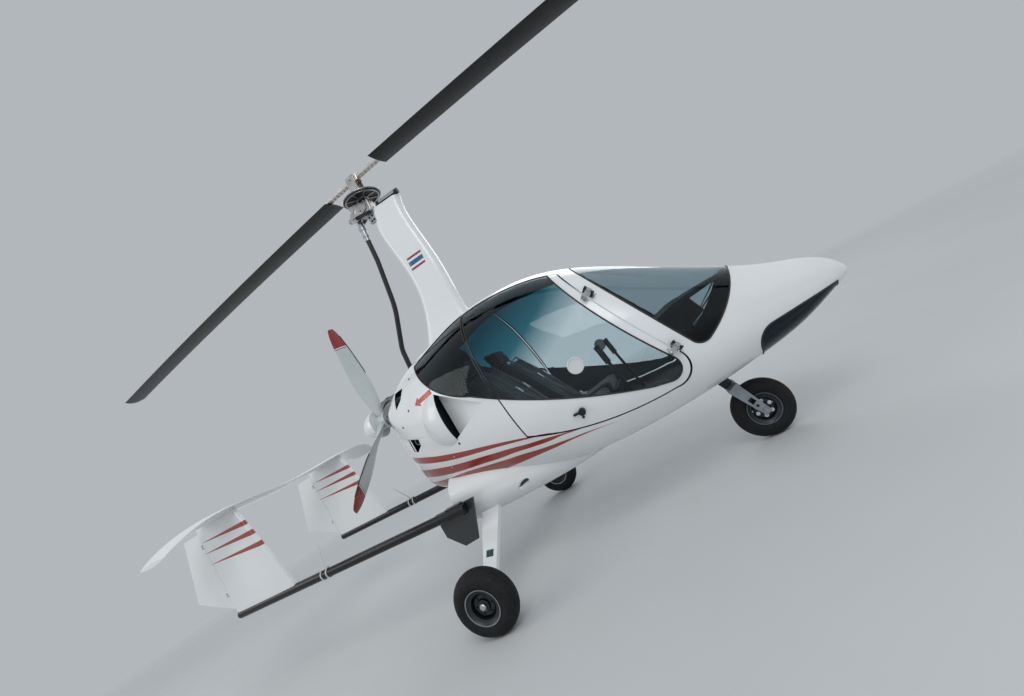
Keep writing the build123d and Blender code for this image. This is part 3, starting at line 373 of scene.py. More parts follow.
def flank_mask(tree):
    """One on the three flank stripes."""
    x, y, z = axes(tree)
    stripes = 0.0
    for tip, top, low in FLANK_STRIPES:
        band = between(tree, z, edge_height(tree, x, low), edge_height(tree, x, top))
        band = maths(tree, "MULTIPLY", band, maths(tree, "LESS_THAN", x, tip / 1000))
        stripes = maths(tree, "MAXIMUM", stripes, band)
    return stripes


def fin_mask(tree):
    """One on the three wedge stripes of a fin and its rudder."""
    x, y, z = axes(tree)
    stripes = 0.0
    for tip, top, low in FIN_STRIPES:
        start = tip[0] / 1000
        rising = span(tree, x, start, top[0] / 1000, tip[1] / 1000, top[1] / 1000)
        under = span(tree, x, start, low[0] / 1000, tip[1] / 1000, low[1] / 1000)
        past_tip = maths(tree, "GREATER_THAN", x, start)
        band = maths(tree, "MULTIPLY", between(tree, z, under, rising), past_tip)
        stripes = maths(tree, "MAXIMUM", stripes, band)
    return stripes


# %% White pieces
flank_white = white_paint("white flank paint", flank_mask, shade_inside=True)
wear(flank_white, "cabin_shell", "engine_cowl", "door_left", "door_right")
wear(white_paint("white fin paint", fin_mask), "fins", "rudder_left", "rudder_right")
plain_white = white_paint("plain white paint")
wear(plain_white, "belly_pod", "mast_fairing", "tailplane", "main_leg", "prop_spinner")
print("stripes", len(FLANK_STRIPES), "on a flank and", len(FIN_STRIPES), "on a fin")

# %% [markdown]
# ## Windows
# The side bubbles are tinted, light smoke in front and deep teal towards the roof and the rear, and the two
# chin windows under the nose are painted nearly black as painted shade of the dark space behind them. The
# windscreen is grey and pales a little towards the roof.
# Acrylic is a real thin solid here, so transmission with a low index keeps it see-through without bending
# the far side much.


# %% Glazing
# Painted shade: the chin windows are darkened to stand for the shadowed space behind them.
CHIN_SHADE_DARK = (0.05, 0.12, 0.15)


def glazing(name, low_colour, high_colour, low=0.94, high=1.24):
    """Thin acrylic sheet whose colour changes upwards and to the rear, and turns dark under the nose as
    painted shade.
    """
    material, tree, shader = new_finish(name, low_colour, 0.012, Transmission_Weight=1.0, IOR=1.22)
    feed(tree, shader, Coat_Weight=0.12, Coat_Roughness=0.02)
    x, y, z = axes(tree)
    share = span(tree, maths(tree, "SUBTRACT", z, maths(tree, "MULTIPLY", x, 0.45)), low, high)
    body = mix_colour(tree, share, (*low_colour, 1), (*high_colour, 1))
    chin = maths(tree, "MULTIPLY", span(tree, x, 1.40, 1.46), span(tree, z, 0.86, 0.80))
    feed(tree, shader, Base_Color=mix_colour(tree, chin, body, (*CHIN_SHADE_DARK, 1)))
    feed(tree, shader, Roughness=span(tree, noise(tree, 40.0, 6.0), 0.62, 0.8, 0.004, 0.02))
    return material


wear(glazing("clear acrylic", (0.46, 0.54, 0.57), (0.66, 0.78, 0.82)), "windscreen")
tint = glazing("tinted acrylic", (0.70, 0.78, 0.80), (0.03, 0.20, 0.26))
wear(tint, "fixed_windows", "door_window_left", "door_window_right")

# %% [markdown]
# ## Metal, rubber and plastic
# The small parts share a few finishes: satin alloy for the rotor head, black paint for booms and blades,
# dark rubber for tyres. Each gets its own grain and wear, never one flat colour.

# %% Metals
ALLOY_GREY = (0.46, 0.45, 0.44)
alloy, tree, shader = new_finish("satin alloy", ALLOY_GREY, 0.32, 1.0)
varied(tree, shader, ALLOY_GREY, 0.25, 18.0, (0.26, 0.42))
bump(tree, shader, noise(tree, 90.0, 3.0, stretch=(1, 1, 14)), 0.08, 0.0004)
wear(alloy, "rotor_head", "teeter_tower")
# Painted light: the hub bar's alloy is warmer and brighter than the head's to stand for orange sunset light
# on it.
sunset_lit_alloy = plain_finish("bar alloy with painted sunset light", (0.66, 0.60, 0.55), (0.24, 0.4), 1.0, scale=22.0)
wear(sunset_lit_alloy, "hub_bar")
steel = plain_finish("bright steel", (0.58, 0.58, 0.59), (0.2, 0.4), 1.0, scale=25.0)
wear(steel, "main_axles", "exhaust")
screw_steel = plain_finish("bright screw steel", (0.72, 0.72, 0.72), (0.18, 0.3), 1.0, scale=40.0)
cast = plain_finish("cast engine metal", (0.22, 0.22, 0.23), (0.45, 0.65), 0.7, (0.25, 160.0))
wear(cast, "engine")

# %% Black paint
black_gloss = plain_finish("black gloss paint", (0.007, 0.008, 0.010), (0.2, 0.34), Specular_IOR_Level=0.35)
wear(black_gloss, "tail_booms")
black_satin = plain_finish("black satin metal", (0.012, 0.013, 0.015), (0.34, 0.55), share=0.35,
                           Specular_IOR_Level=0.35)
wear(black_satin, "rotor_blades", "nose_socket", "prerotator_motor", "control_conduit", "hinge_brackets",
     "ring_gear", "door_handle_left", "door_handle_right", "control_sticks")
# Painted reflection: the navy on the column above 0.604 m near the centre line stands for the sky's blue in
# black gloss.
frame_black, tree, shader = new_finish("frame black with painted sky reflection", (0.02, 0.02, 0.02), 0.4, Coat_Weight=0.3)
x, y, z = axes(tree)
on_top = maths(tree, "GREATER_THAN", z, 0.604)
in_middle = maths(tree, "LESS_THAN", maths(tree, "ABSOLUTE", y), 0.07)
sky_reflection = maths(tree, "MULTIPLY", on_top, in_middle)
feed(tree, shader, Base_Color=mix_colour(tree, sky_reflection, (0.02, 0.022, 0.025, 1), (0.012, 0.045, 0.14, 1)))
feed(tree, shader, Roughness=span(tree, noise(tree, 60.0), 0.3, 0.7, 0.3, 0.5))
wear(frame_black, "boom_beam")

# %% Rubber, rims and fork
rubber = plain_finish("tyre rubber", (0.009, 0.010, 0.011), (0.62, 0.85), 0.0, (0.3, 400.0), 0.4, 9.0,
                      Specular_IOR_Level=0.3)
wear(rubber, "main_tyre_left", "main_tyre_right", "nose_tyre")
seal_rubber = plain_finish("seal rubber", (0.010, 0.011, 0.012), (0.4, 0.6), 0.0, (0.2, 500.0))
rim_metal = plain_finish("dark rim", (0.045, 0.05, 0.056), (0.3, 0.5), 0.8, scale=20.0)
wear(rim_metal, "main_rim_left", "main_rim_right", "nose_rim")
rim_edge = plain_finish("bare rim edge", (0.36, 0.38, 0.40), (0.28, 0.42), 0.9, scale=30.0)
fork_grey = plain_finish("fork grey", (0.30, 0.33, 0.36), (0.32, 0.5), 0.5, scale=20.0)
wear(fork_grey, "nose_fork")

# %% [markdown]
# ## Propeller paint
# The blades are light grey with red-brown tips. The distance from the propeller's centre decides the
# colour, and a thin white line with a thin dark one marks where the tip colour starts.

# %% Propeller
PROP_X, PROP_Z = -0.810, 1.367  # the propeller's centre
TIP_FROM = 0.690  # radius at which the tip colour starts
prop_paint, tree, shader = new_finish("propeller grey", (0.54, 0.58, 0.58), 0.3, Coat_Weight=0.3)
x, y, z = axes(tree)
radius = off_axis(tree, y, maths(tree, "SUBTRACT", z, PROP_Z))
cloudy = span(tree, noise(tree, 3.0), 0.3, 0.7)
paint = mix_colour(tree, cloudy, (0.50, 0.55, 0.55, 1), (0.60, 0.64, 0.63, 1))
paint = mix_colour(tree, between(tree, radius, 0.676, 0.682), paint, (0.04, 0.03, 0.03, 1))
paint = mix_colour(tree, between(tree, radius, 0.682, TIP_FROM), paint, (0.78, 0.78, 0.78, 1))
paint = mix_colour(tree, span(tree, radius, TIP_FROM, TIP_FROM + 0.001), paint, (0.26, 0.03, 0.022, 1))
feed(tree, shader, Base_Color=paint)
feed(tree, shader, Roughness=span(tree, noise(tree, 50.0), 0.3, 0.7, 0.24, 0.38))
wear(prop_paint, "propeller")

# %% Cabin plastics
panel_plastic = plain_finish("matt black plastic", (0.010, 0.012, 0.015), (0.6, 0.8), 0.0, (0.05, 300.0),
                             0.3, 12.0, Specular_IOR_Level=0.3)
wear(panel_plastic, "instrument_panel", "seats", "floor_and_firewall")

# %% [markdown]
# ## A small kit for shapes
# A form is a list of points and a list of faces. It is turned round an axis, drawn out from an outline or
# laid along a path, then moved to its place with a matrix. A piece joins its forms into one mesh, softens
# its edges, takes a material and rides on a body of the frame.


# %% Shape kit
def turned(profile, steps=40):
    """A closed profile of (radius, height) points swept round the Z axis."""
    count = len(profile)
    points, faces = [], []
    for k in range(steps):
        a = 2 * math.pi * k / steps
        points += [(r * math.cos(a), r * math.sin(a), h) for r, h in profile]
    for k in range(steps):
        n = (k + 1) % steps
        for i in range(count):
            j = (i + 1) % count
            faces.append((k * count + i, n * count + i, n * count + j, k * count + j))
    return points, faces


def drawn(outline, low, high):
    """A flat outline of (x, y) points drawn out along Z."""
    n = len(outline)
    points = [(x, y, h) for h in (low, high) for x, y in outline]
    faces = [tuple(range(n))[::-1], tuple(range(n, 2 * n))]
    faces += [(i, (i + 1) % n, n + (i + 1) % n, n + i) for i in range(n)]
    return points, faces


def rounded(width, height, radius, steps=5, at=(0.0, 0.0)):
    """A rectangle's outline with round corners."""
    outline = []
    for k, (sx, sy) in enumerate(((1, 1), (-1, 1), (-1, -1), (1, -1))):
        cx, cy = at[0] + sx * (width / 2 - radius), at[1] + sy * (height / 2 - radius)
        for i in range(steps + 1):
            a = math.pi / 2 * (k + i / steps)
            outline.append((cx + radius * math.cos(a), cy + radius * math.sin(a)))
    return outline


def ribbon(points, normals, across, width, thick):
    """A flat strap along points, with its faces along the normals and its width along one direction."""
    side = Vector(across).normalized() * width / 2
    ring, faces = [], []
    for p, n in zip(points, normals):
        out = Vector(n).normalized() * thick
        ring += [tuple(p - side), tuple(p + side), tuple(p + side + out), tuple(p - side + out)]
    for k in range(len(points) - 1):
        a, b = 4 * k, 4 * k + 4
        faces += [(a + i, a + (i + 1) % 4, b + (i + 1) % 4, b + i) for i in range(4)]
    end = 4 * len(points) - 4
    return ring, faces + [(0, 1, 2, 3), (end + 3, end + 2, end + 1, end)]


def moved(form, matrix):
    """A form taken through a matrix."""
    return [tuple(matrix @ Vector(p)) for p in form[0]], form[1]


def across(form):
    """The same form on the other side of the aircraft."""
    return [(x, -y, z) for x, y, z in form[0]], [tuple(reversed(f)) for f in form[1]]


def stand(where, normal, up=(0, 0, 1)):
    """A matrix at a point, with Z along a direction and Y towards an upward one."""
    z = Vector(normal).normalized()
    x = Vector(up).cross(z).normalized()
    return Matrix.Translation(where) @ Matrix((x, z.cross(x), z)).transposed().to_4x4()


def settle(name, mesh, body):
    """Puts a mesh in the scene as a piece that rides on a body."""
    made = bpy.data.objects.new(name, mesh)
    bpy.context.scene.collection.objects.link(made)
    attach(made, body)
    print(name, "on", body, len(mesh.polygons), "faces")
    return made


def piece(name, body, slot, material, *forms, bevel=0.0, crease=35):
    """One piece from its forms, with welded points, outward faces and softened edges."""
    work = bmesh.new()
    for points, faces in forms:
        verts = [work.verts.new(p) for p in points]
        for face in faces:
            work.faces.new([verts[i] for i in face])
    bmesh.ops.remove_doubles(work, verts=work.verts, dist=1e-6)
    bmesh.ops.dissolve_degenerate(work, edges=work.edges, dist=1e-7)
    if bevel:
        sharp = [e for e in work.edges if e.is_manifold and e.calc_face_angle(0.0) > math.radians(crease)]
        bmesh.ops.bevel(work, geom=sharp, offset=bevel, segments=2, affect="EDGES", clamp_overlap=True)
    bmesh.ops.recalc_face_normals(work, faces=work.faces)
    mesh = bpy.data.meshes.new(name)
    work.to_mesh(mesh)
    work.free()
    mesh.shade_smooth()
    mesh.set_sharp_from_angle(angle=math.radians(crease))
    mesh.materials.append(material)
    return settle(name, mesh, body)


def mm(*values):
    """Millimetres to a vector in metres."""
    return Vector(values) / 1000


def bolt(matrix, x, y, z, way=1):
    """A fastener's place in a local frame, and its direction along that frame's Z axis."""
    return matrix @ Vector((x, y, z)), matrix.to_3x3() @ Vector((0, 0, way))


def around(radius, count, turn=0.0):
    """Points spaced evenly on a circle, as (x, y); turn is a share of one space."""
    angles = [(k + turn) * 2 * math.pi / count for k in range(count)]
    return [(radius * math.cos(a), radius * math.sin(a)) for a in angles]


# %% [markdown]
# ## Finding the surface
# Small pieces sit on curved skin, so their place is found and not guessed. A search tree over some solids
# answers two questions: where does a sideways line at this x and z meet the flank, and where does the line
# of sight through this pixel of the picture meet it. Both also give the surface's direction there.


# %% Surface search
def surface(*names):
    """A search tree over some solids' faces."""
    points, faces = [], []
    for name in names:
        mesh = node[name].data
        base = len(points)
        points += [v.co.copy() for v in mesh.vertices]
        faces += [tuple(base + i for i in p.vertices) for p in mesh.polygons]
    return BVHTree.FromPolygons(points, faces)


def flank(tree, x, z, side=-1):
    """A flank's point at x and z in millimetres, and its outward direction."""
    where, normal, _, _ = tree.ray_cast(mm(x, side * 2000, z), Vector((0, -side, 0)))
    return where, normal * (1 if normal.y * side > 0 else -1)


def spot(tree, px, py):
    """The point that shows at a pixel of the picture, and the surface's direction towards the camera."""
    ray = RIGHT * (px - 512) / FOCAL + UP * (348 - py) / FOCAL - BACK
    where, normal, _, _ = tree.ray_cast(EYE, ray.normalized())
    return where, normal * (1 if normal.dot(ray) < 0 else -1)


def marks(tree, *pixels):
    """The surface points, in millimetres, that show at some pixels."""
    return [spot(tree, *pixel)[0] * 1000 for pixel in pixels]


skin = surface("cabin_shell", "engine_cowl", "door_left", "door_right")
pod_skin = surface("belly_pod")
mast_skin = surface("mast_fairing")

# %% [markdown]
# ## Geometry Nodes for what repeats or follows a line
# Two node trees do most of the small work. One puts a fastener on every point of a cloud and turns it to
# the stored surface direction. The other lays a round bead along a line. Both have named inputs, end in
# real geometry with its material set, and leave a plain mesh behind, with no modifier.


# %% Node kit
def new_tree(name, **inputs):
    """A Geometry Nodes tree with named inputs; gives (tree, input node, output node)."""
    tree = bpy.data.node_groups.new(name, "GeometryNodeTree")
    kinds = {float: "NodeSocketFloat", int: "NodeSocketInt", type(None): "NodeSocketMaterial"}
    tree.interface.new_socket("Geometry", in_out="INPUT", socket_type="NodeSocketGeometry")
    for label, value in inputs.items():
        socket = tree.interface.new_socket(label, in_out="INPUT", socket_type=kinds[type(value)])
        if value is not None:
            socket.default_value = value
    tree.interface.new_socket("Geometry", in_out="OUTPUT", socket_type="NodeSocketGeometry")
    return tree, tree.nodes.new("NodeGroupInput"), tree.nodes.new("NodeGroupOutput")


def grow(name, tree, seed, body, slot, material, place=None, **values):
    """Runs a tree on a seed mesh and keeps the result, taken to its place, as a plain piece."""
    carrier = bpy.data.objects.new("seed", seed)
    bpy.context.scene.collection.objects.link(carrier)
    modifier = carrier.modifiers.new("nodes", "NODES")
    modifier.node_group = tree
    values["Material"] = material
    for item in tree.interface.items_tree:
        if item.in_out == "INPUT" and item.name in values:
            modifier[item.identifier] = values[item.name]
    graph = bpy.context.evaluated_depsgraph_get()
    mesh = bpy.data.meshes.new_from_object(carrier.evaluated_get(graph), depsgraph=graph)
    bpy.data.objects.remove(carrier)
    bpy.data.meshes.remove(seed)
    if place:
        mesh.transform(place)
    return settle(name, mesh, body)


def finished(tree, end, shape, material):
    """Ends a tree: instances made real, and the material set."""
    solid = feed(tree, add(tree, "GeometryNodeRealizeInstances"), Geometry=shape)
    painted = feed(tree, add(tree, "GeometryNodeSetMaterial"), Geometry=solid.outputs[0], Material=material)
    feed(tree, end, Geometry=painted.outputs[0])


def cloud(rows):
    """A mesh of loose points with their directions in an attribute."""
    mesh = bpy.data.meshes.new("points")
    mesh.from_pydata([tuple(p) for p, _ in rows], [], [])
    aim = mesh.attributes.new("aim", "FLOAT_VECTOR", "POINT")
    for item, (_, direction) in zip(aim.data, rows):
        item.vector = direction
    return mesh


def line(*runs):
    """A mesh of open or closed lines; a run that ends where it starts is closed."""
    points, edges = [], []
    for run in runs:
        base, closed = len(points), (run[0] - run[-1]).length < 1e-6
        kept = run[:-1] if closed else run
        points += [tuple(p) for p in kept]
        edges += [(base + i, base + i + 1) for i in range(len(kept) - 1)]
        if closed:
            edges.append((base + len(kept) - 1, base))
    mesh = bpy.data.meshes.new("line")
    mesh.from_pydata(points, edges, [])
    return mesh


# %% Fastener tree
def cylinder(tree, sides, radius, depth, lift):
    """A Mesh Cylinder node moved along Z."""
    made = feed(tree, add(tree, "GeometryNodeMeshCylinder"), Vertices=sides, Radius=radius, Depth=depth)
    high = feed(tree, add(tree, "ShaderNodeCombineXYZ"), Z=lift)
    shift = feed(tree, add(tree, "GeometryNodeTransform"), Geometry=made.outputs[0],
                 Translation=high.outputs[0])
    return shift.outputs[0]


fastener, start, end = new_tree("fasteners", Radius=0.005, Height=0.003, Sides=6, Washer=1.5, Material=None)
given = start.outputs
head_lift = maths(fastener, "MULTIPLY", given["Height"], 0.7)
head = cylinder(fastener, given["Sides"], given["Radius"], given["Height"], head_lift)
wide = maths(fastener, "MULTIPLY", given["Radius"], given["Washer"])
thin = maths(fastener, "MULTIPLY", given["Height"], 0.4)
washer = cylinder(fastener, 20, wide, thin, maths(fastener, "MULTIPLY", thin, 0.5))
both = add(fastener, "GeometryNodeJoinGeometry")
for part in (washer, head):
    fastener.links.new(part, both.inputs[0])
aim = feed(fastener, add(fastener, "GeometryNodeInputNamedAttribute", data_type="FLOAT_VECTOR"), Name="aim")
turned_to = add(fastener, "FunctionNodeAlignRotationToVector", axis="Z")
feed(fastener, turned_to, Vector=aim.outputs["Attribute"])
spread = add(fastener, "GeometryNodeInstanceOnPoints")
feed(fastener, spread, Points=given["Geometry"], Instance=both.outputs[0], Rotation=turned_to.outputs[0])
finished(fastener, end, spread.outputs[0], given["Material"])

# %% Bead tree
bead, start, end = new_tree("beads", Radius=0.004, Sides=10, Material=None)
given = start.outputs
route = feed(bead, add(bead, "GeometryNodeMeshToCurve"), Mesh=given["Geometry"])
ring = add(bead, "GeometryNodeCurvePrimitiveCircle")
feed(bead, ring, Resolution=given["Sides"], Radius=given["Radius"])
swept = feed(bead, add(bead, "GeometryNodeCurveToMesh"), Curve=route.outputs[0], Fill_Caps=True)
feed(bead, swept, Profile_Curve=ring.outputs[0])
soft = feed(bead, add(bead, "GeometryNodeSetShadeSmooth"), Geometry=swept.outputs[0])
finished(bead, end, soft.outputs[0], given["Material"])
print("trees", fastener.name, "and", bead.name)

# %% [markdown]
# ## Window seals
# Every window sits in a black rubber seal. The seal follows the window's own outer rim: the rim's edges
# are those where a face that looks outwards meets one that doesn't. The line is moved a few millimetres
# in from the rim, so that a door's seal stays on the door.


# %% Rim lines
def rim_lines(name, inset):
    """The outer rim of each pane of a window, as closed runs of points moved inwards."""
    work = bmesh.new()
    work.from_mesh(node[name].data)
    bmesh.ops.remove_doubles(work, verts=work.verts, dist=1e-5)
    bmesh.ops.recalc_face_normals(work, faces=work.faces)

    def outward(face):
        """True where a face looks away from the cabin's middle."""
        middle = face.calc_center_median()
        away = Vector((0.3 * (middle.x - 1.0), middle.y, middle.z - 0.95)).normalized()
        return face.normal.dot(away) > 0.55

    follow, shift = {}, {}
    for edge in work.edges:
        outer = [f for f in edge.link_faces if outward(f)]
        if len(edge.link_faces) != 2 or len(outer) != 1 or edge.calc_face_angle() < math.radians(40):
            continue
        a, b = edge.verts
        along = (b.co - a.co).normalized()
        inner = outer[0].calc_center_median() - (a.co + b.co) / 2
        inner = (inner - along * inner.dot(along)).normalized()
        for here, there in ((a, b), (b, a)):
            follow.setdefault(here, []).append(there)
            shift[here] = shift.get(here, Vector()) + inner
    runs, left = [], dict.fromkeys(follow)
    while left:
        here = next(iter(left))
        del left[here]
        run = [here]
        while True:
            ahead = [v for v in follow[here] if v in left]
            if not ahead:
                break
            here = ahead[0]
            del left[here]
            run.append(here)
        if len(run) > 8:
            run.append(run[0])
            runs.append([v.co + shift[v].normalized() * inset for v in run])
    work.free()
    return runs


# %% Seals
for name, body in (("windscreen", "airframe"), ("fixed_windows", "airframe"),
                   ("door_window_left", "door_left_swing"), ("door_window_right", "door_right_swing")):
    runs = rim_lines(name, 0.004)
    grow(f"{name}_seal", bead, line(*runs), body, "tyre_rubber", seal_rubber, Radius=0.0048)

# %% [markdown]
# ## Decals that lie on curved skin
# The arrow beside the intake, the coloured bars on the mast and the dark shade in the pod's hollow are thin
# painted shapes. Each starts as a flat outline in side view, is cut into small triangles, and every corner
# is then dropped onto the skin and lifted by half a millimetre.


# %% Decal maker
def decal(name, tree, body, slot, material, *outlines, side=-1, lift=0.0005, cuts=6):
    """Thin paint on a flank from outlines in x and z, in millimetres."""
    work = bmesh.new()
    for outline in outlines:
        work.faces.new([work.verts.new((px, 0, pz)) for px, pz in outline])
    bmesh.ops.triangulate(work, faces=work.faces)
    bmesh.ops.subdivide_edges(work, edges=work.edges, cuts=cuts, use_grid_fill=True)
    bmesh.ops.triangulate(work, faces=work.faces)
    for vert in work.verts:
        where, normal = flank(tree, vert.co.x, vert.co.z, side)
        vert.co = where + normal * lift
    bmesh.ops.solidify(work, geom=work.faces, thickness=-lift)
    bmesh.ops.recalc_face_normals(work, faces=work.faces)
    mesh = bpy.data.meshes.new(name)
    work.to_mesh(mesh)
    work.free()
    mesh.shade_smooth()
    mesh.materials.append(material)
    return settle(name, mesh, body)


# %% Arrow
arrow_red = plain_finish("arrow red", (0.62, 0.05, 0.02), (0.25, 0.35), Coat_Weight=0.4)
flag_red = plain_finish("bar red", (0.30, 0.03, 0.03), (0.25, 0.35), Coat_Weight=0.4)
flag_blue = plain_finish("bar blue", (0.012, 0.115, 0.30), (0.25, 0.35), Coat_Weight=0.4)
decal("intake_arrow", skin, "airframe", "white_gloss", arrow_red,
      ((-40, 1337), (-172, 1322), (-168, 1294), (-34, 1305)),
      ((-178, 1338), (-222, 1303), (-166, 1276), (-168, 1294), (-172, 1322)))

# %% Mast bars and hollow shade
corners = marks(mast_skin, (406.5, 259.0), (420, 249.5), (425.5, 261.5), (412.5, 271))


def bar(low, high):
    """A share of the patch on the mast, from one cross line to another, in x and z."""
    a, b, c, d = corners
    run = [a.lerp(d, low), b.lerp(c, low), b.lerp(c, high), a.lerp(d, high)]
    return [(p.x, p.z) for p in run]


hollow_dark = plain_finish("hollow shade", (0.075, 0.070, 0.062), (0.5, 0.7))
hollow = marks(pod_skin, (519.4, 487.2), (521.0, 482.4), (524.5, 479.0), (528.0, 478.2), (528.9, 480.0),
               (526.0, 482.2), (522.6, 485.4))
decal("pod_hollow_shade", pod_skin, "airframe", "white_gloss", hollow_dark, [(p.x, p.z) for p in hollow])
decal("mast_bars_red", mast_skin, "airframe", "white_gloss", flag_red, bar(0, 0.16), bar(0.84, 1))
decal("mast_bar_blue", mast_skin, "airframe", "white_gloss", flag_blue, bar(0.34, 0.66))

# %% [markdown]
# ## Cowl fasteners and screws
# Dark quarter-turn fasteners hold the upper cowl, small bright screws its lower edge. The camera shows one
# side; the other side has the same row, as such cowls do.

# %% Fasteners
both_sides = (-1, 1)
DARK = ((-228, 1488), (-304, 1298), (-429, 1222), (-32, 946))
BRIGHT = ((-138, 885), (-217, 828), (-283, 743))
rows = [flank(skin, x, z, side) for x, z in DARK for side in both_sides]
grow("cowl_fasteners", fastener, cloud(rows), "airframe", "dark_metal", black_satin,
     Radius=0.0062, Height=0.002, Sides=16, Washer=1.35)
rows = [flank(skin, x, z, side) for x, z in BRIGHT for side in both_sides]
rows.append(flank(mast_skin, 147, 2747, -1))
grow("cowl_screws", fastener, cloud(rows), "airframe", "steel", screw_steel,
     Radius=0.0042, Height=0.0018, Sides=16, Washer=1.4)
print("fasteners", 2 * len(DARK), "dark and", len(rows), "bright")

# %% [markdown]
# ## Doors
# Each door has a turning lever beside its round knob, a small key lock and a round air vent that snaps
# into the window, a clear ring with a ridged rim. All are found on the near side by their pixels, and the
# far door gets the same forms turned over. Four bolts hold the hinge arms.

# %% Door fittings
handle_black = plain_finish("handle black", (0.02, 0.021, 0.023), (0.3, 0.45))
vent_clear, tree, shader = new_finish("vent ring plastic", (0.82, 0.84, 0.85), 0.3,
                                      Transmission_Weight=0.25)
bump(tree, shader, noise(tree, 220.0, 2.0), 0.15, 0.0004)
doors = surface("door_left", "door_window_left", "door_right", "door_window_right")
lever_a, normal = spot(doors, 573.5, 415.0)
lever_b, _ = spot(doors, 584.0, 409.6)
middle = (lever_a + lever_b) / 2
turned_lever = stand(middle, normal, lever_b - lever_a)
length = (lever_b - lever_a).length
lever = moved(drawn(rounded(0.013, length, 0.006), 0.006, 0.016), turned_lever)
stem = moved(turned([(0, 0), (0.005, 0), (0.005, 0.008), (0, 0.008)], 16), stand(middle, normal))
lock_at, lock_normal = spot(doors, 583.5, 417.0)
LOCK = [(0, 0), (0.0085, 0), (0.0085, 0.002), (0.006, 0.003), (0, 0.003)]
lock = moved(turned(LOCK, 24), stand(lock_at, lock_normal))
VENT = [(0.047, 0), (0.047, 0.006), (0.044, 0.009), (0.040, 0.009), (0.038, 0.004), (0, 0.004), (0, 0)]
vent = moved(turned(VENT, 48), stand(*spot(doors, 575.5, 365.5)))
HINGE_BOLTS = ((1096, 1262), (1085, 1285), (1323, 828), (1332, 812))
for side, name in ((-1, "right"), (1, "left")):
    flip = (lambda form: form) if side < 0 else across
    body = f"door_{name}_swing"
    piece(f"door_lever_{name}", body, "dark_metal", handle_black, flip(lever), flip(stem), flip(lock),
          bevel=0.0012)
    piece(f"window_vents_{name}", body, "clear_glazing", vent_clear, flip(vent))
    rows = [flank(doors, x, z, side) for x, z in HINGE_BOLTS]
    grow(f"hinge_bolts_{name}", fastener, cloud(rows), body, "steel", screw_steel,
         Radius=0.0035, Height=0.003)

# %% [markdown]
# ## Rotor head
# The head is a dense little machine: a square cross bar with its bracket on the yoke, the rod ends that
# pull it, a toothed ring with spokes on the turning hub, and rows of bolts through the blade bar. The
# hub's plane leans five degrees forward and the blades are parked a little off the centre line.

# %% Rotor frame
HUB = Vector((0.014, 0, 3.060))
LEAN = math.radians(5)
shaft = stand(HUB, (math.sin(LEAN), 0, math.cos(LEAN)), (0, 1, 0))
PARKED_AT = math.radians(171.5)
parked = shaft @ Matrix.Rotation(PARKED_AT, 4, "Z")


def at(matrix, *place):
    """A place in a local frame, as a matrix."""
    return matrix @ Matrix.Translation(place)


# %% Blade bolts
rows = []
for step in (0.092, 0.128, 0.164, 0.204, 0.244, 0.284, 0.322):
    for end_sign in (-1, 1):
        for edge in (-0.012, 0.012):
            rows.append(bolt(parked, end_sign * step, edge, 0.008))
            if step < 0.29:  # the outermost bolts have heads on the upper face only
                rows.append(bolt(parked, end_sign * step, edge, -0.008, -1))
grow("blade_bolts", fastener, cloud(rows), "rotor", "steel", screw_steel, Radius=0.0062, Height=0.006)

# %% [markdown]
# The toothed ring is a third small node tree: a circle of points, a tapered tooth on each, turned to face
# outwards. The number of teeth and the ring's radius are its inputs.

# %% Toothed ring
teeth, start, end = new_tree("teeth", Count=90, Ring=0.146, Tooth=0.0062, Material=None)
given = start.outputs
circle = feed(teeth, add(teeth, "GeometryNodeMeshCircle"), Vertices=given["Count"], Radius=given["Ring"])
tooth = feed(teeth, add(teeth, "GeometryNodeMeshCone"), Vertices=4, Depth=0.008)
feed(teeth, tooth, Radius_Bottom=given["Tooth"], Radius_Top=maths(teeth, "MULTIPLY", given["Tooth"], 0.5))
facing = add(teeth, "FunctionNodeAlignRotationToVector", axis="Z")
feed(teeth, facing, Vector=add(teeth, "GeometryNodeInputPosition").outputs[0])
spread = add(teeth, "GeometryNodeInstanceOnPoints")
feed(teeth, spread, Points=circle.outputs[0], Instance=tooth.outputs[0], Rotation=facing.outputs[0])
finished(teeth, end, spread.outputs[0], given["Material"])
grow("ring_teeth", teeth, cloud([]), "rotor_shaft", "steel", steel, place=at(shaft, 0, 0, -0.153))

# %% Ring spokes
spokes = [moved(drawn(rounded(0.086, 0.011, 0.004, at=(0.085, 0)), -0.1655, -0.1602),
                shaft @ Matrix.Rotation(k * math.pi / 4, 4, "Z")) for k in range(8)]
hoop = moved(turned([(0.124, -0.1665), (0.137, -0.1665), (0.137, -0.1602), (0.124, -0.1602)], 72), shaft)
boss = moved(turned([(0.036, -0.168), (0.05, -0.168), (0.05, -0.1602), (0.036, -0.1602)], 40), shaft)
piece("ring_spokes", "rotor_shaft", "satin_alloy", alloy, *spokes, hoop, boss, bevel=0.0008)

# %% [markdown]
# Below the ring, on the camera's side of the yoke, a black square bar carries a bright bracket, and the
# control conduit ends in turned fittings.

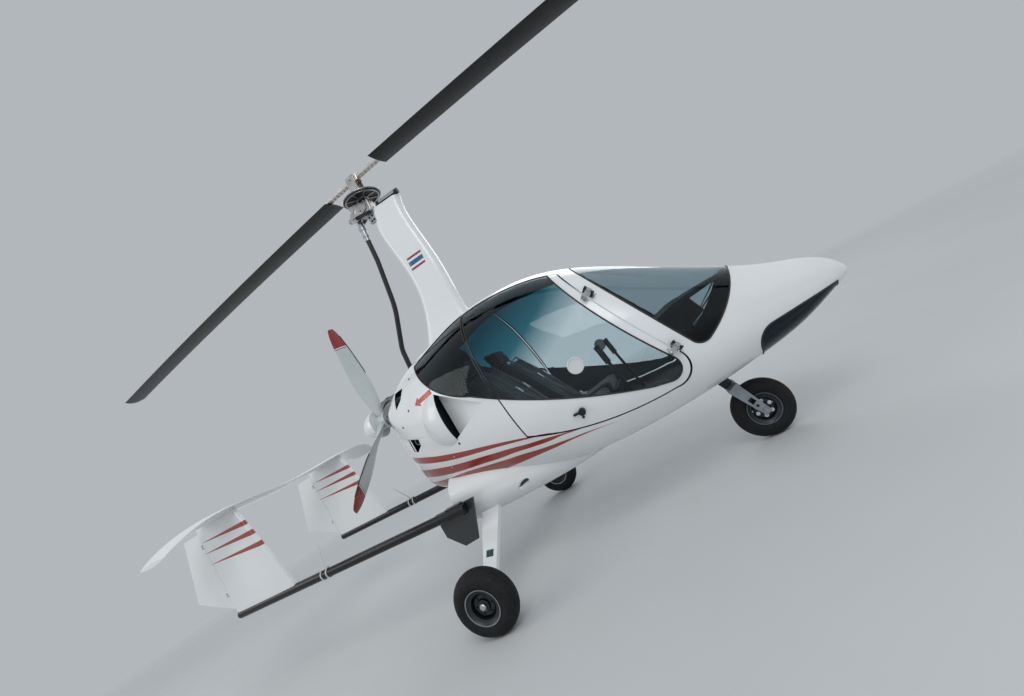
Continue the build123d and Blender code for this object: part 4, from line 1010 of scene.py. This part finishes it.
# %% Yoke fittings
bar_a, bar_b = mm(-98, 0, 2776), mm(35, 0, 2749)
cross = stand((bar_a + bar_b) / 2, (0, -1, 0), bar_b - bar_a)
cross_bar = moved(drawn(rounded(0.022, (bar_b - bar_a).length, 0.003), 0.051, 0.073), cross)
piece("yoke_cross_bar", "airframe", "dark_metal", black_satin, cross_bar, bevel=0.001)
hang = stand(mm(10, 0, 2703), (0, -1, 0))
bracket = moved(drawn(rounded(0.058, 0.072, 0.012), 0.036, 0.050), hang)
ledge = moved(drawn(rounded(0.05, 0.02, 0.004, at=(0, 0.045)), 0.020, 0.060), hang)
piece("yoke_bracket", "airframe", "satin_alloy", rim_edge, bracket, ledge, bevel=0.0015)
BRACKET_BOLTS = ((-4, 2721), (24, 2723), (4, 2687), (25, 2689))
BAR_BOLTS = ((-82, 2772.5), (18, 2752.5))
rows = [(mm(x, y, z), Vector((0, -1, 0))) for y, bolts in ((-50, BRACKET_BOLTS), (-73, BAR_BOLTS))
        for x, z in bolts]
grow("yoke_bolts", fastener, cloud(rows), "airframe", "dark_metal", black_satin,
     Radius=0.0055, Height=0.005)

# %% Conduit fitting and pre-rotator strip
down = stand(mm(-119.5, 0, 2770), (-32, 0, -348))
SLEEVE = [(0.0194, 0), (0.0235, 0), (0.0235, 0.040), (0.0285, 0.045), (0.0285, 0.070),
          (0.0235, 0.075), (0.0235, 0.110), (0.026, 0.112), (0.026, 0.126), (0.0215, 0.130),
          (0.0215, 0.160), (0.0194, 0.160)]
piece("conduit_fitting", "airframe", "satin_alloy", rim_edge, moved(turned(SLEEVE, 32), down))
slim = moved(drawn(rounded(0.150, 0.020, 0.010), 0.0465, 0.0495),
             at(shaft, 0.206, 0, -0.274) @ Matrix.Rotation(math.pi / 2, 4, "X"))
piece("prerotator_strip", "airframe", "satin_alloy", rim_edge, slim, bevel=0.0006)

# %% [markdown]
# ## Wheels
# A wheel's rim shows as a dark rolled edge on the tyre's bead with a thin bare lip, a bolted hub and a nut
# on the axle's end. The forms are turned in the wheel's own frame, whose Z axis lies along the axle and
# points outwards, and the tread is four shallow grooves in the shader.

# %% Tread
MAIN_X, MAIN_Y, NOSE_X, AXLE_Z = -0.125, 0.955, 1.610, 0.183  # the axles
GROOVE_STEP = 0.019
tree = rubber.node_tree
x, y, z = axes(tree)
at_nose = maths(tree, "GREATER_THAN", x, 1.0)
off = maths(tree, "SUBTRACT", maths(tree, "ABSOLUTE", y), span(tree, at_nose, 0, 1, MAIN_Y, 0.0))
along = maths(tree, "SUBTRACT", x, span(tree, at_nose, 0, 1, MAIN_X, NOSE_X))
from_axle = off_axis(tree, along, maths(tree, "SUBTRACT", z, AXLE_Z))
wave = maths(tree, "SINE", maths(tree, "MULTIPLY", off, 2 * math.pi / GROOVE_STEP))
groove = maths(tree, "MULTIPLY", span(tree, wave, 0.55, 0.9, 1.0, 0.0), span(tree, from_axle, 0.166, 0.170))
bump(tree, tree.nodes["Principled BSDF"], groove, 0.9, 0.004)


# %% Wheel pieces
BEAD_FROM, BEAD_RUN = 0.0803, 0.0257  # where a tyre's sloping bead starts, and how far it runs outwards


def bead_ring(half, tall, out):
    """The rolled edge of a rim, laid on the tyre's bead; half and tall are the bead's two heights."""
    def over(radius, lift=0.0):
        """A point over the sloping bead."""
        return half + (tall - half) / BEAD_RUN * (radius - BEAD_FROM) + out + lift

    return [(0.071, half - 0.0004), (0.079, half + 0.0006), (0.088, over(0.088)), (0.0965, over(0.0965)),
            (0.0978, over(0.0975, 0.002)), (0.0955, over(0.0975, 0.0035)), (0.092, over(0.092, 0.0035)),
            (0.0865, over(0.0865, 0.0035)), (0.079, half + 0.0042), (0.071, half + 0.0036)]


def bead_lip(half, tall):
    """The thin bare lip at a rim's very edge."""
    level = half + (tall - half) / BEAD_RUN * 0.0172 + 0.0035
    return [(0.0935, level - 0.001), (0.0992, level + 0.0005), (0.0992, level + 0.0030),
            (0.0935, level + 0.0022)]


def on_faces(profile, steps, *faces):
    """One turned form on each face of a wheel."""
    return [moved(turned(profile, steps), face) for face in faces]


HUB_COVER = [(0.0334, 0.0052), (0.0334, 0.027), (0.037, 0.030), (0.056, 0.030), (0.061, 0.026),
             (0.061, 0.0052)]
DISC = [(0.0335, -0.0415), (0.066, -0.0415), (0.066, -0.0465), (0.0335, -0.0465)]
MAIN_BEAD, NOSE_BEAD = (0.0409, 0.0607), (0.0347, 0.0515)
BEAD_GAP = 0.0008

# %% Main wheels
for side, label in ((-1, "starboard"), (1, "port")):
    wheel = stand((MAIN_X, side * MAIN_Y, AXLE_Z), (0, side, 0))
    flipped = wheel @ Matrix.Rotation(math.pi, 4, "X")
    body = f"wheel_{label}"
    edges = on_faces(bead_ring(*MAIN_BEAD, BEAD_GAP), 72, wheel, flipped)
    piece(f"rim_edge_{label}", body, "rim_alloy", rim_metal, *edges)
    lips = on_faces(bead_lip(*MAIN_BEAD), 72, wheel, flipped)
    piece(f"rim_lip_{label}", body, "rim_alloy", rim_edge, *lips)
    hub = on_faces(HUB_COVER, 48, wheel) + on_faces(DISC, 64, wheel)
    piece(f"hub_cover_{label}", body, "rim_alloy", rim_metal, *hub)
    ring = [bolt(wheel, *place, 0.030) for place in around(0.048, 6)]
    grow(f"hub_bolts_{label}", fastener, cloud(ring), body, "rim_alloy", rim_metal,
         Radius=0.0055, Height=0.006)
    nut = moved(drawn(around(0.020, 6), 0.0425, 0.0535), wheel)
    cap = moved(turned([(0, 0.0535), (0.017, 0.0535), (0.014, 0.0570), (0, 0.0580)], 32), wheel)
    piece(f"axle_nut_{label}", "airframe", "steel", steel, nut, cap, bevel=0.0008)
    caliper = moved(drawn(rounded(0.052, 0.062, 0.010, at=(side * -0.058, 0.004)), -0.064, -0.049), wheel)
    carrier = moved(drawn(rounded(0.070, 0.020, 0.006, at=(side * -0.030, 0.0)), -0.083, -0.060), wheel)
    piece(f"brake_caliper_{label}", "airframe", "dark_metal", black_satin, caliper, carrier, bevel=0.002)

# %% Nose wheel
nose = stand((NOSE_X, 0, AXLE_Z), (0, -1, 0))
nose_faces = nose, nose @ Matrix.Rotation(math.pi, 4, "X")
lip_grey = plain_finish("dull rim lip", (0.14, 0.15, 0.16), (0.35, 0.5), 0.8, scale=30.0)
for name, material, profile in (("nose_rim_edge", rim_metal, bead_ring(*NOSE_BEAD, BEAD_GAP)),
                                ("nose_rim_lip", lip_grey, bead_lip(*NOSE_BEAD)),
                                ("nose_hub_cover", rim_metal, HUB_COVER)):
    piece(name, "nose_wheel", "rim_alloy", material, *on_faces(profile, 64, *nose_faces))
ring = [bolt(face, *place, 0.030) for face in nose_faces for place in around(0.047, 6, 0.35)]
grow("nose_hub_bolts", fastener, cloud(ring), "nose_wheel", "steel", screw_steel,
     Radius=0.008, Height=0.007)

# %% Nose fork
RAKE = math.radians(25)
leg = stand((NOSE_X, 0, AXLE_Z), (-math.sin(RAKE), 0, math.cos(RAKE)), (0, 1, 0))
plates, rows = [], []
for side in (-1, 1):
    face = leg @ Matrix.Translation((0, side * 0.086, 0.022)) @ Matrix.Rotation(-side * math.pi / 2, 4, "X")
    plates.append(moved(drawn(rounded(0.040, 0.096, 0.016, at=(0, -side * 0.004)), 0.0003, 0.005), face))
    rows += [bolt(face, dx, -side * dz, 0.005) for dx, dz in ((0.004, -0.022), (-0.004, 0.030))]
    nut = stand((NOSE_X, side * 0.086, AXLE_Z), (0, side, 0))
    plates.append(moved(drawn(around(0.019, 6), 0.005, 0.013), nut))
piece("fork_plates", "nose_leg", "fork_grey", fork_grey, *plates, bevel=0.001)
grow("fork_bolts", fastener, cloud(rows), "nose_leg", "steel", black_satin, Radius=0.006, Height=0.005)

# %% Leg patch
# A small dark square of paint on the flat face of the leg, so four corners are enough.
patch_blue = plain_finish("patch slate", (0.02, 0.06, 0.08), (0.35, 0.5))
leg_skin = surface("main_leg")
quad = [spot(leg_skin, *p) for p in ((486.6, 550.6), (493.6, 548.6), (493.4, 556.0), (486.3, 557.6))]
points = [tuple(p + n * lift) for lift in (0.0006, 0.0001) for p, n in quad]
edges = [(k, k + 4, 4 + (k + 1) % 4, (k + 1) % 4) for k in range(4)]
piece("leg_patch", "airframe", "leg_white", patch_blue, (points, [(0, 1, 2, 3), (7, 6, 5, 4), *edges]))

# %% [markdown]
# ## Booms and propeller
# Two pale clips on each boom hold a slim white rod. The propeller's blades carry a black strip on the outer
# half of their leading edges; the strip is a bead whose line is worked out from the blades' own table of
# radius, chord and pitch.

# %% Boom rods
pale_metal = plain_finish("pale clip", (0.62, 0.62, 0.60), (0.3, 0.45), scale=20.0)
boom_front, boom_rear = mm(-185, 594, 590), mm(-2334, 594, 657)
forward = (boom_front - boom_rear).normalized()
here = spot(surface("tail_booms"), 323.2, 572.0)[0]
centre = boom_front.lerp(boom_rear, (here.x - boom_front.x) / (boom_rear.x - boom_front.x))
CLIP = [(0.0313, -0.006), (0.0350, -0.006), (0.0350, 0.006), (0.0313, 0.006)]
port_forms = [moved(turned(CLIP, 40), stand(centre + forward * step, forward)) for step in (-0.026, 0.026)]
foot = centre + Vector((0, 0, 0.036))
flat = stand(foot, (0, 0, 1), (0, 1, 0))
port_forms.append(moved(drawn(rounded(0.072, 0.030, 0.008), -0.004, 0.006), flat))
ROD_LEAN = Vector((-0.05, -0.10, 0.177)).normalized()
ROD = [(0, 0), (0.0065, 0), (0.0065, 0.03), (0.0045, 0.034), (0.0022, 0.190), (0, 0.192)]
port_forms.append(moved(turned(ROD, 20), stand(foot, ROD_LEAN)))
far_forms = [across(form) for form in port_forms]
piece("boom_rods", "airframe", "white_gloss", pale_metal, *port_forms, *far_forms, bevel=0.0008)

# %% Propeller strips
BLADE = ((0.300, 0.138, 40), (0.480, 0.142, 29), (0.660, 0.122, 23), (0.790, 0.090, 20))


def blade_edge(radius, turn):
    """A point on the leading edge of a blade that is turned by some degrees from upright."""
    for (r0, c0, p0), (r1, c1, p1) in zip(BLADE, BLADE[1:]):
        if radius <= r1:
            break
    share = (radius - r0) / (r1 - r0)
    chord, pitch = c0 + share * (c1 - c0), math.radians(p0 + share * (p1 - p0))
    local = Vector((chord / 2 * math.sin(pitch), chord / 2 * math.cos(pitch), radius))
    return Matrix.Translation((PROP_X, 0, PROP_Z)) @ Matrix.Rotation(math.radians(turn), 4, "X") @ local


strips = [[blade_edge(0.42 + 0.36 * k / 16, 2 + 120 * blade) for k in range(17)] for blade in range(3)]
grow("blade_strips", bead, line(*strips), "airscrew", "black_gloss", seal_rubber, Radius=0.0042, Sides=8)
SPINNER_RADIUS = 0.1105
rows = [(Vector((PROP_X - 0.0575, SPINNER_RADIUS * y, PROP_Z + SPINNER_RADIUS * z)),
         Vector((-0.15, y, z)).normalized()) for y, z in around(1.0, 6, 0.5)]
grow("spinner_screws", fastener, cloud(rows), "airscrew", "steel", screw_steel,
     Radius=0.0042, Height=0.002, Sides=16)


# %% Gearbox hoses
def hose(*knots, steps=12):
    """Points on a smooth curve through a hose's knots, which bends to the neighbours of each pair."""
    route = []
    ends_too = [knots[0] * 2 - knots[1], *knots, knots[-1] * 2 - knots[-2]]
    for a, b, c, d in zip(ends_too, ends_too[1:], ends_too[2:], ends_too[3:]):
        bend, twist = 2 * a - 5 * b + 4 * c - d, 3 * b - a - 3 * c + d
        for t in [k / steps for k in range(steps)]:
            route.append(0.5 * (2 * b + (c - a) * t + bend * t ** 2 + twist * t ** 3))
    return route + [knots[-1].copy()]


hoses = [hose(mm(-560, -70, 1450), mm(-640, -92, 1470), mm(-700, -88, 1440), mm(-716, -52, 1402)),
         hose(mm(-560, -40, 1470), mm(-650, -52, 1500), mm(-712, -40, 1470), mm(-722, -20, 1424)),
         hose(mm(-560, -110, 1330), mm(-640, -120, 1352), mm(-700, -98, 1372), mm(-714, -60, 1372))]
grow("gearbox_hoses", bead, line(*hoses), "airframe", "dark_metal", seal_rubber, Radius=0.0065, Sides=10)

# %% [markdown]
# ## Seats
# The pads are real soft goods: each starts as the solid's own pad, a little slimmer, is remeshed into
# small squares and blown up as cloth. A cap keeps every point within twelve millimetres of its start, and
# no point passes the face that rests on the shell. Seams and channels are pressed in afterwards. One seat
# is made, and the other is its mirror image.

# %% Seat cloth
THREADS = 2600.0  # radians a metre, so a thread every 2.4 mm
seat_weave, tree, shader = new_finish("seat cloth", (0.030, 0.034, 0.042), 0.85, Sheen_Weight=0.35)
x, y, z = axes(tree)
climb = maths(tree, "ADD", maths(tree, "MULTIPLY", x, -0.5), maths(tree, "MULTIPLY", z, 0.87))
across_threads = maths(tree, "SINE", maths(tree, "MULTIPLY", y, THREADS))
up_threads = maths(tree, "SINE", maths(tree, "MULTIPLY", climb, THREADS))
weave = maths(tree, "MULTIPLY", across_threads, up_threads)
cloudy = span(tree, noise(tree, 9.0), 0.3, 0.7)
threads = maths(tree, "MULTIPLY", span(tree, weave, -1, 1), 0.6)
tone = maths(tree, "ADD", threads, maths(tree, "MULTIPLY", cloudy, 0.4))
feed(tree, shader, Base_Color=mix_colour(tree, tone, (0.016, 0.018, 0.024, 1), (0.044, 0.050, 0.060, 1)))
bump(tree, shader, weave, 0.35, 0.0006)
belt_web, tree, shader = new_finish("belt webbing", (0.035, 0.037, 0.042), 0.7, Sheen_Weight=0.25)
x, y, z = axes(tree)
ribs = maths(tree, "SINE", maths(tree, "MULTIPLY", z, 3800.0))
bump(tree, shader, ribs, 0.4, 0.0005)
varied(tree, shader, (0.045, 0.048, 0.055), 0.3, 30.0, (0.6, 0.8))


# %% Pad maker
def loose_parts(mesh):
    """The separate solids of a mesh, as (points, faces)."""
    work = bmesh.new()
    work.from_mesh(mesh)
    bmesh.ops.remove_doubles(work, verts=work.verts, dist=1e-6)
    unseen, parts = dict.fromkeys(work.verts), []
    while unseen:
        front = [next(iter(unseen))]
        del unseen[front[0]]
        found = list(front)
        while front:
            for edge in front.pop().link_edges:
                for other in edge.verts:
                    if other in unseen:
                        del unseen[other]
                        front.append(other)
                        found.append(other)
        index = {v: i for i, v in enumerate(found)}
        faces = [tuple(index[v] for v in f.verts) for f in work.faces if f.verts[0] in index]
        parts.append(([v.co.copy() for v in found], faces))
    work.free()
    return parts


FRAMES = 16  # steps of the cloth simulation


def blown(points, faces, rest, cap=0.012, shrink=0.006, cell=0.0075):
    """A pad blown up as cloth: flat on its rest side, crowned elsewhere; gives a mesh."""
    centre = sum(points, Vector()) / len(points)
    reach = [max((p - centre)[k] for p in points) for k in range(3)]
    slim = [centre + Vector([(p - centre)[k] * (1 - shrink / reach[k]) for k in range(3)]) for p in points]
    deepest = max(p.dot(rest) for p in points)
    slim = [p + rest * (0.8 * (deepest - max(q.dot(rest) for q in slim))) for p in slim]
    mesh = bpy.data.meshes.new("pad")
    mesh.from_pydata([tuple(p) for p in slim], [], faces)
    pad = bpy.data.objects.new("pad", mesh)
    scene.collection.objects.link(pad)
    remesh = pad.modifiers.new("voxels", "REMESH")
    remesh.mode, remesh.voxel_size = "VOXEL", cell
    deps = bpy.context.evaluated_depsgraph_get()
    grid = bpy.data.meshes.new_from_object(pad.evaluated_get(deps))
    pad.modifiers.clear()
    pad.data = grid
    start = [v.co.copy() for v in grid.vertices]
    cloth = pad.modifiers.new("air", "CLOTH")
    cloth.settings.use_pressure = True
    cloth.settings.uniform_pressure_force = 4.0
    cloth.settings.effector_weights.gravity = 0.0
    cloth.settings.quality = 3
    cloth.point_cache.frame_start, cloth.point_cache.frame_end = 1, FRAMES
    for moment in range(1, FRAMES + 1):
        scene.frame_set(moment)
    deps = bpy.context.evaluated_depsgraph_get()
    swollen = bpy.data.meshes.new_from_object(pad.evaluated_get(deps))
    pad.modifiers.clear()
    for vert, was in zip(swollen.vertices, start):
        step = vert.co - was
        if step.length > cap:
            vert.co = was + step * (cap / step.length)
    pad.data = swollen
    scene.frame_set(1)
    for vert in pad.data.vertices:
        over = vert.co.dot(rest) - deepest
        if over > 0:
            vert.co -= rest * over
    done = pad.data
    bpy.data.objects.remove(pad)
    return done


# %% Blown pads
scene = bpy.context.scene
TOWARDS = {"back": Vector((-0.876, 0, -0.482)), "squab": Vector((0.155, 0, -0.988)),
           "head": Vector((-0.962, 0, -0.272))}  # the way to the shell that each pad rests on
SEAT_Y = 0.290  # a seat's middle, off the centre line
SEAM_Y = 0.125  # a pad's long seams, off its own middle
pads = {}
for points, faces in loose_parts(node["seat_cushions"].data):
    centre = sum(points, Vector()) / len(points)
    if centre.y > 0:
        continue
    kind = "head" if centre.z > 1.25 else "squab" if centre.x > 0.65 else "back"
    pads[kind] = blown(points, faces, TOWARDS[kind])
    print(kind, "pad", len(pads[kind].vertices), "points")


# %% Channels
def press(mesh, rest, depth_at):
    """Presses a pad's front by a depth that depends on how far across and along it a point lies."""
    along = Vector((0, 1, 0)).cross(rest)
    places = [(v.co.y + SEAT_Y, v.co.dot(along)) for v in mesh.vertices]
    low, high = min(p[1] for p in places), max(p[1] for p in places)
    for vert, (side, up) in zip(mesh.vertices, places):
        facing = max(0.0, vert.normal.dot(-rest))
        vert.co += rest * depth_at(side, (up - low) / (high - low)) * facing ** 2
    mesh.update()


def dip(distance, wide):
    """A rounded groove's share of its depth."""
    return math.exp(-(distance / wide) ** 2)


def back_depth(side, up):
    """Two long seams with a shallow hollow between them, and one seam across."""
    lines = 0.007 * max(dip(abs(side) - SEAM_Y, 0.006), dip(up - 0.62, 0.012) * (abs(side) < SEAM_Y))
    return lines + 0.006 * dip(side, 0.09)


def squab_depth(side, up):
    """Two long seams and one across, in a hollow for the sitter."""
    lines = 0.007 * max(dip(abs(side) - SEAM_Y, 0.006), dip(up - 0.5, 0.016) * (abs(side) < SEAM_Y))
    return lines + 0.007 * dip(side, 0.11)


press(pads["back"], TOWARDS["back"], back_depth)
press(pads["squab"], TOWARDS["squab"], squab_depth)

# %% Both seats
for kind, mesh in pads.items():
    for side, label in ((-1, "starboard"), (1, "port")):
        copy = mesh.copy()
        if side > 0:
            copy.transform(Matrix.Scale(-1, 4, (0, 1, 0)))
            copy.flip_normals()
        copy.materials.clear()
        copy.materials.append(seat_weave)
        copy.shade_smooth()
        pad = settle(f"seat_{kind}_{label}", copy, "airframe")
        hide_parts("seat_cushions")

# %% [markdown]
# ## Belts and instrument panel
# Belts are flat woven straps laid over the backrest, so they are modelled directly. The panel's face holds
# two dark screens with four round dials between them and four knobs below, without any lettering.

# %% Belts
TOP, LOW = Vector((0.268, 0, 1.262)), Vector((0.592, 0, 0.742))
OUT = Vector((0.876, 0, 0.482))
BELT_WIDTH, BELT_THICK = 0.046, 0.0016
HIP_RUN = ((0.548, 2.18, 0.706), (0.574, 2.02, 0.752), (0.600, 1.2, 0.764), (0.615, 0.25, 0.764))
BUCKLE = [(0, 0), (0.027, 0), (0.030, 0.006), (0.028, 0.014), (0.022, 0.018), (0, 0.018)]


def strap_run(side, inward):
    """Points of a shoulder strap from behind the top of the backrest down to the buckle."""
    run = [(Vector((0.196, side, 1.236)), Vector((-0.3, 0, 1)))]
    for k in range(17):
        t = k / 16
        place = TOP.lerp(LOW, t) + OUT * (0.014 + 0.010 * math.sin(math.pi * t) ** 2)
        run.append((Vector((place.x, side + inward * t ** 2, place.z)), OUT))
    return run


belts, metal = [], []
for seat_y in (-SEAT_Y, SEAT_Y):
    for away in (-0.095, 0.095):
        run = strap_run(seat_y + away, -away * 0.72)
        belts.append(ribbon([p for p, _ in run], [n for _, n in run], (0, 1, 0), BELT_WIDTH, BELT_THICK))
        hip = [Vector((x, seat_y + away * reach, z)) for x, reach, z in HIP_RUN]
        belts.append(ribbon(hip, [OUT] * len(hip), (0.3, 0, -0.95), BELT_WIDTH, BELT_THICK))
        middle = TOP.lerp(LOW, 0.45) + OUT * 0.0265 + Vector((0, seat_y + away * 0.86, 0))
        adjuster = stand(middle, OUT, (0, 1, 0))
        metal.append(moved(drawn(rounded(0.056, 0.030, 0.006), 0, 0.004), adjuster))
    buckle = stand(Vector((0.612, seat_y, 0.752)) + OUT * 0.006, OUT, (0, 1, 0))
    metal.append(moved(turned(BUCKLE, 32), buckle))
piece("belt_straps", "airframe", "seat_cloth", belt_web, *belts)
piece("belt_buckles", "airframe", "steel", steel, *metal, bevel=0.0008)

# %% Instrument panel
lean_back = Matrix(((0, -0.113, -0.994), (-1, 0, 0), (0, 0.994, -0.113)))
face = Matrix.Translation((1.362, 0, 0.894)) @ lean_back.to_4x4()
SCREEN_X = 0.215  # a screen's middle, off the panel's middle
screen_dark, tree, shader = new_finish("screen glass", (0.006, 0.010, 0.014), 0.08, Coat_Weight=0.4)
feed(tree, shader, Roughness=span(tree, noise(tree, 18.0), 0.4, 0.7, 0.05, 0.14))
bezels = [moved(drawn(rounded(0.200, 0.140, 0.012, at=(sx, 0.0)), 0.0003, 0.009), face)
          for sx in (-SCREEN_X, SCREEN_X)]
RING = [(0.033, 0.0003), (0.039, 0.0003), (0.040, 0.006), (0.037, 0.009), (0.033, 0.007)]
DIALS = ((-0.052, 0.036), (0.052, 0.036), (-0.052, -0.046), (0.052, -0.046))
bezels += [moved(turned(RING, 48), at(face, dx, dy, 0)) for dx, dy in DIALS]
KNOB = [(0, 0), (0.010, 0), (0.009, 0.012), (0.007, 0.014), (0, 0.014)]
knobs = [moved(turned(KNOB, 20), at(face, kx, -0.076, 0)) for kx in (-0.15, -0.09, 0.09, 0.15)]
piece("panel_bezels", "airframe", "panel_black", black_satin, *bezels, *knobs, bevel=0.0012)
glass_forms = [moved(drawn(rounded(0.178, 0.118, 0.006, at=(sx, 0.0)), 0.009, 0.0100), face)
               for sx in (-SCREEN_X, SCREEN_X)]
LENS = [(0, 0.0003), (0.0335, 0.0003), (0.0335, 0.004), (0, 0.004)]
glass_forms += [moved(turned(LENS, 40), at(face, dx, dy, 0)) for dx, dy in DIALS]
piece("panel_glass", "airframe", "panel_black", screen_dark, *glass_forms)
HAND = [(-0.0012, -0.006), (0.0012, -0.006), (0.0005, 0.026), (-0.0005, 0.026)]
hands = []
for (dx, dy), angle in zip(DIALS, (0.6, 2.4, 4.0, 5.2)):
    pivot = at(face, dx, dy, 0) @ Matrix.Rotation(angle, 4, "Z")
    hands.append(moved(drawn(HAND, 0.0043, 0.0049), pivot))
piece("dial_hands", "airframe", "panel_black", plain_white, *hands)
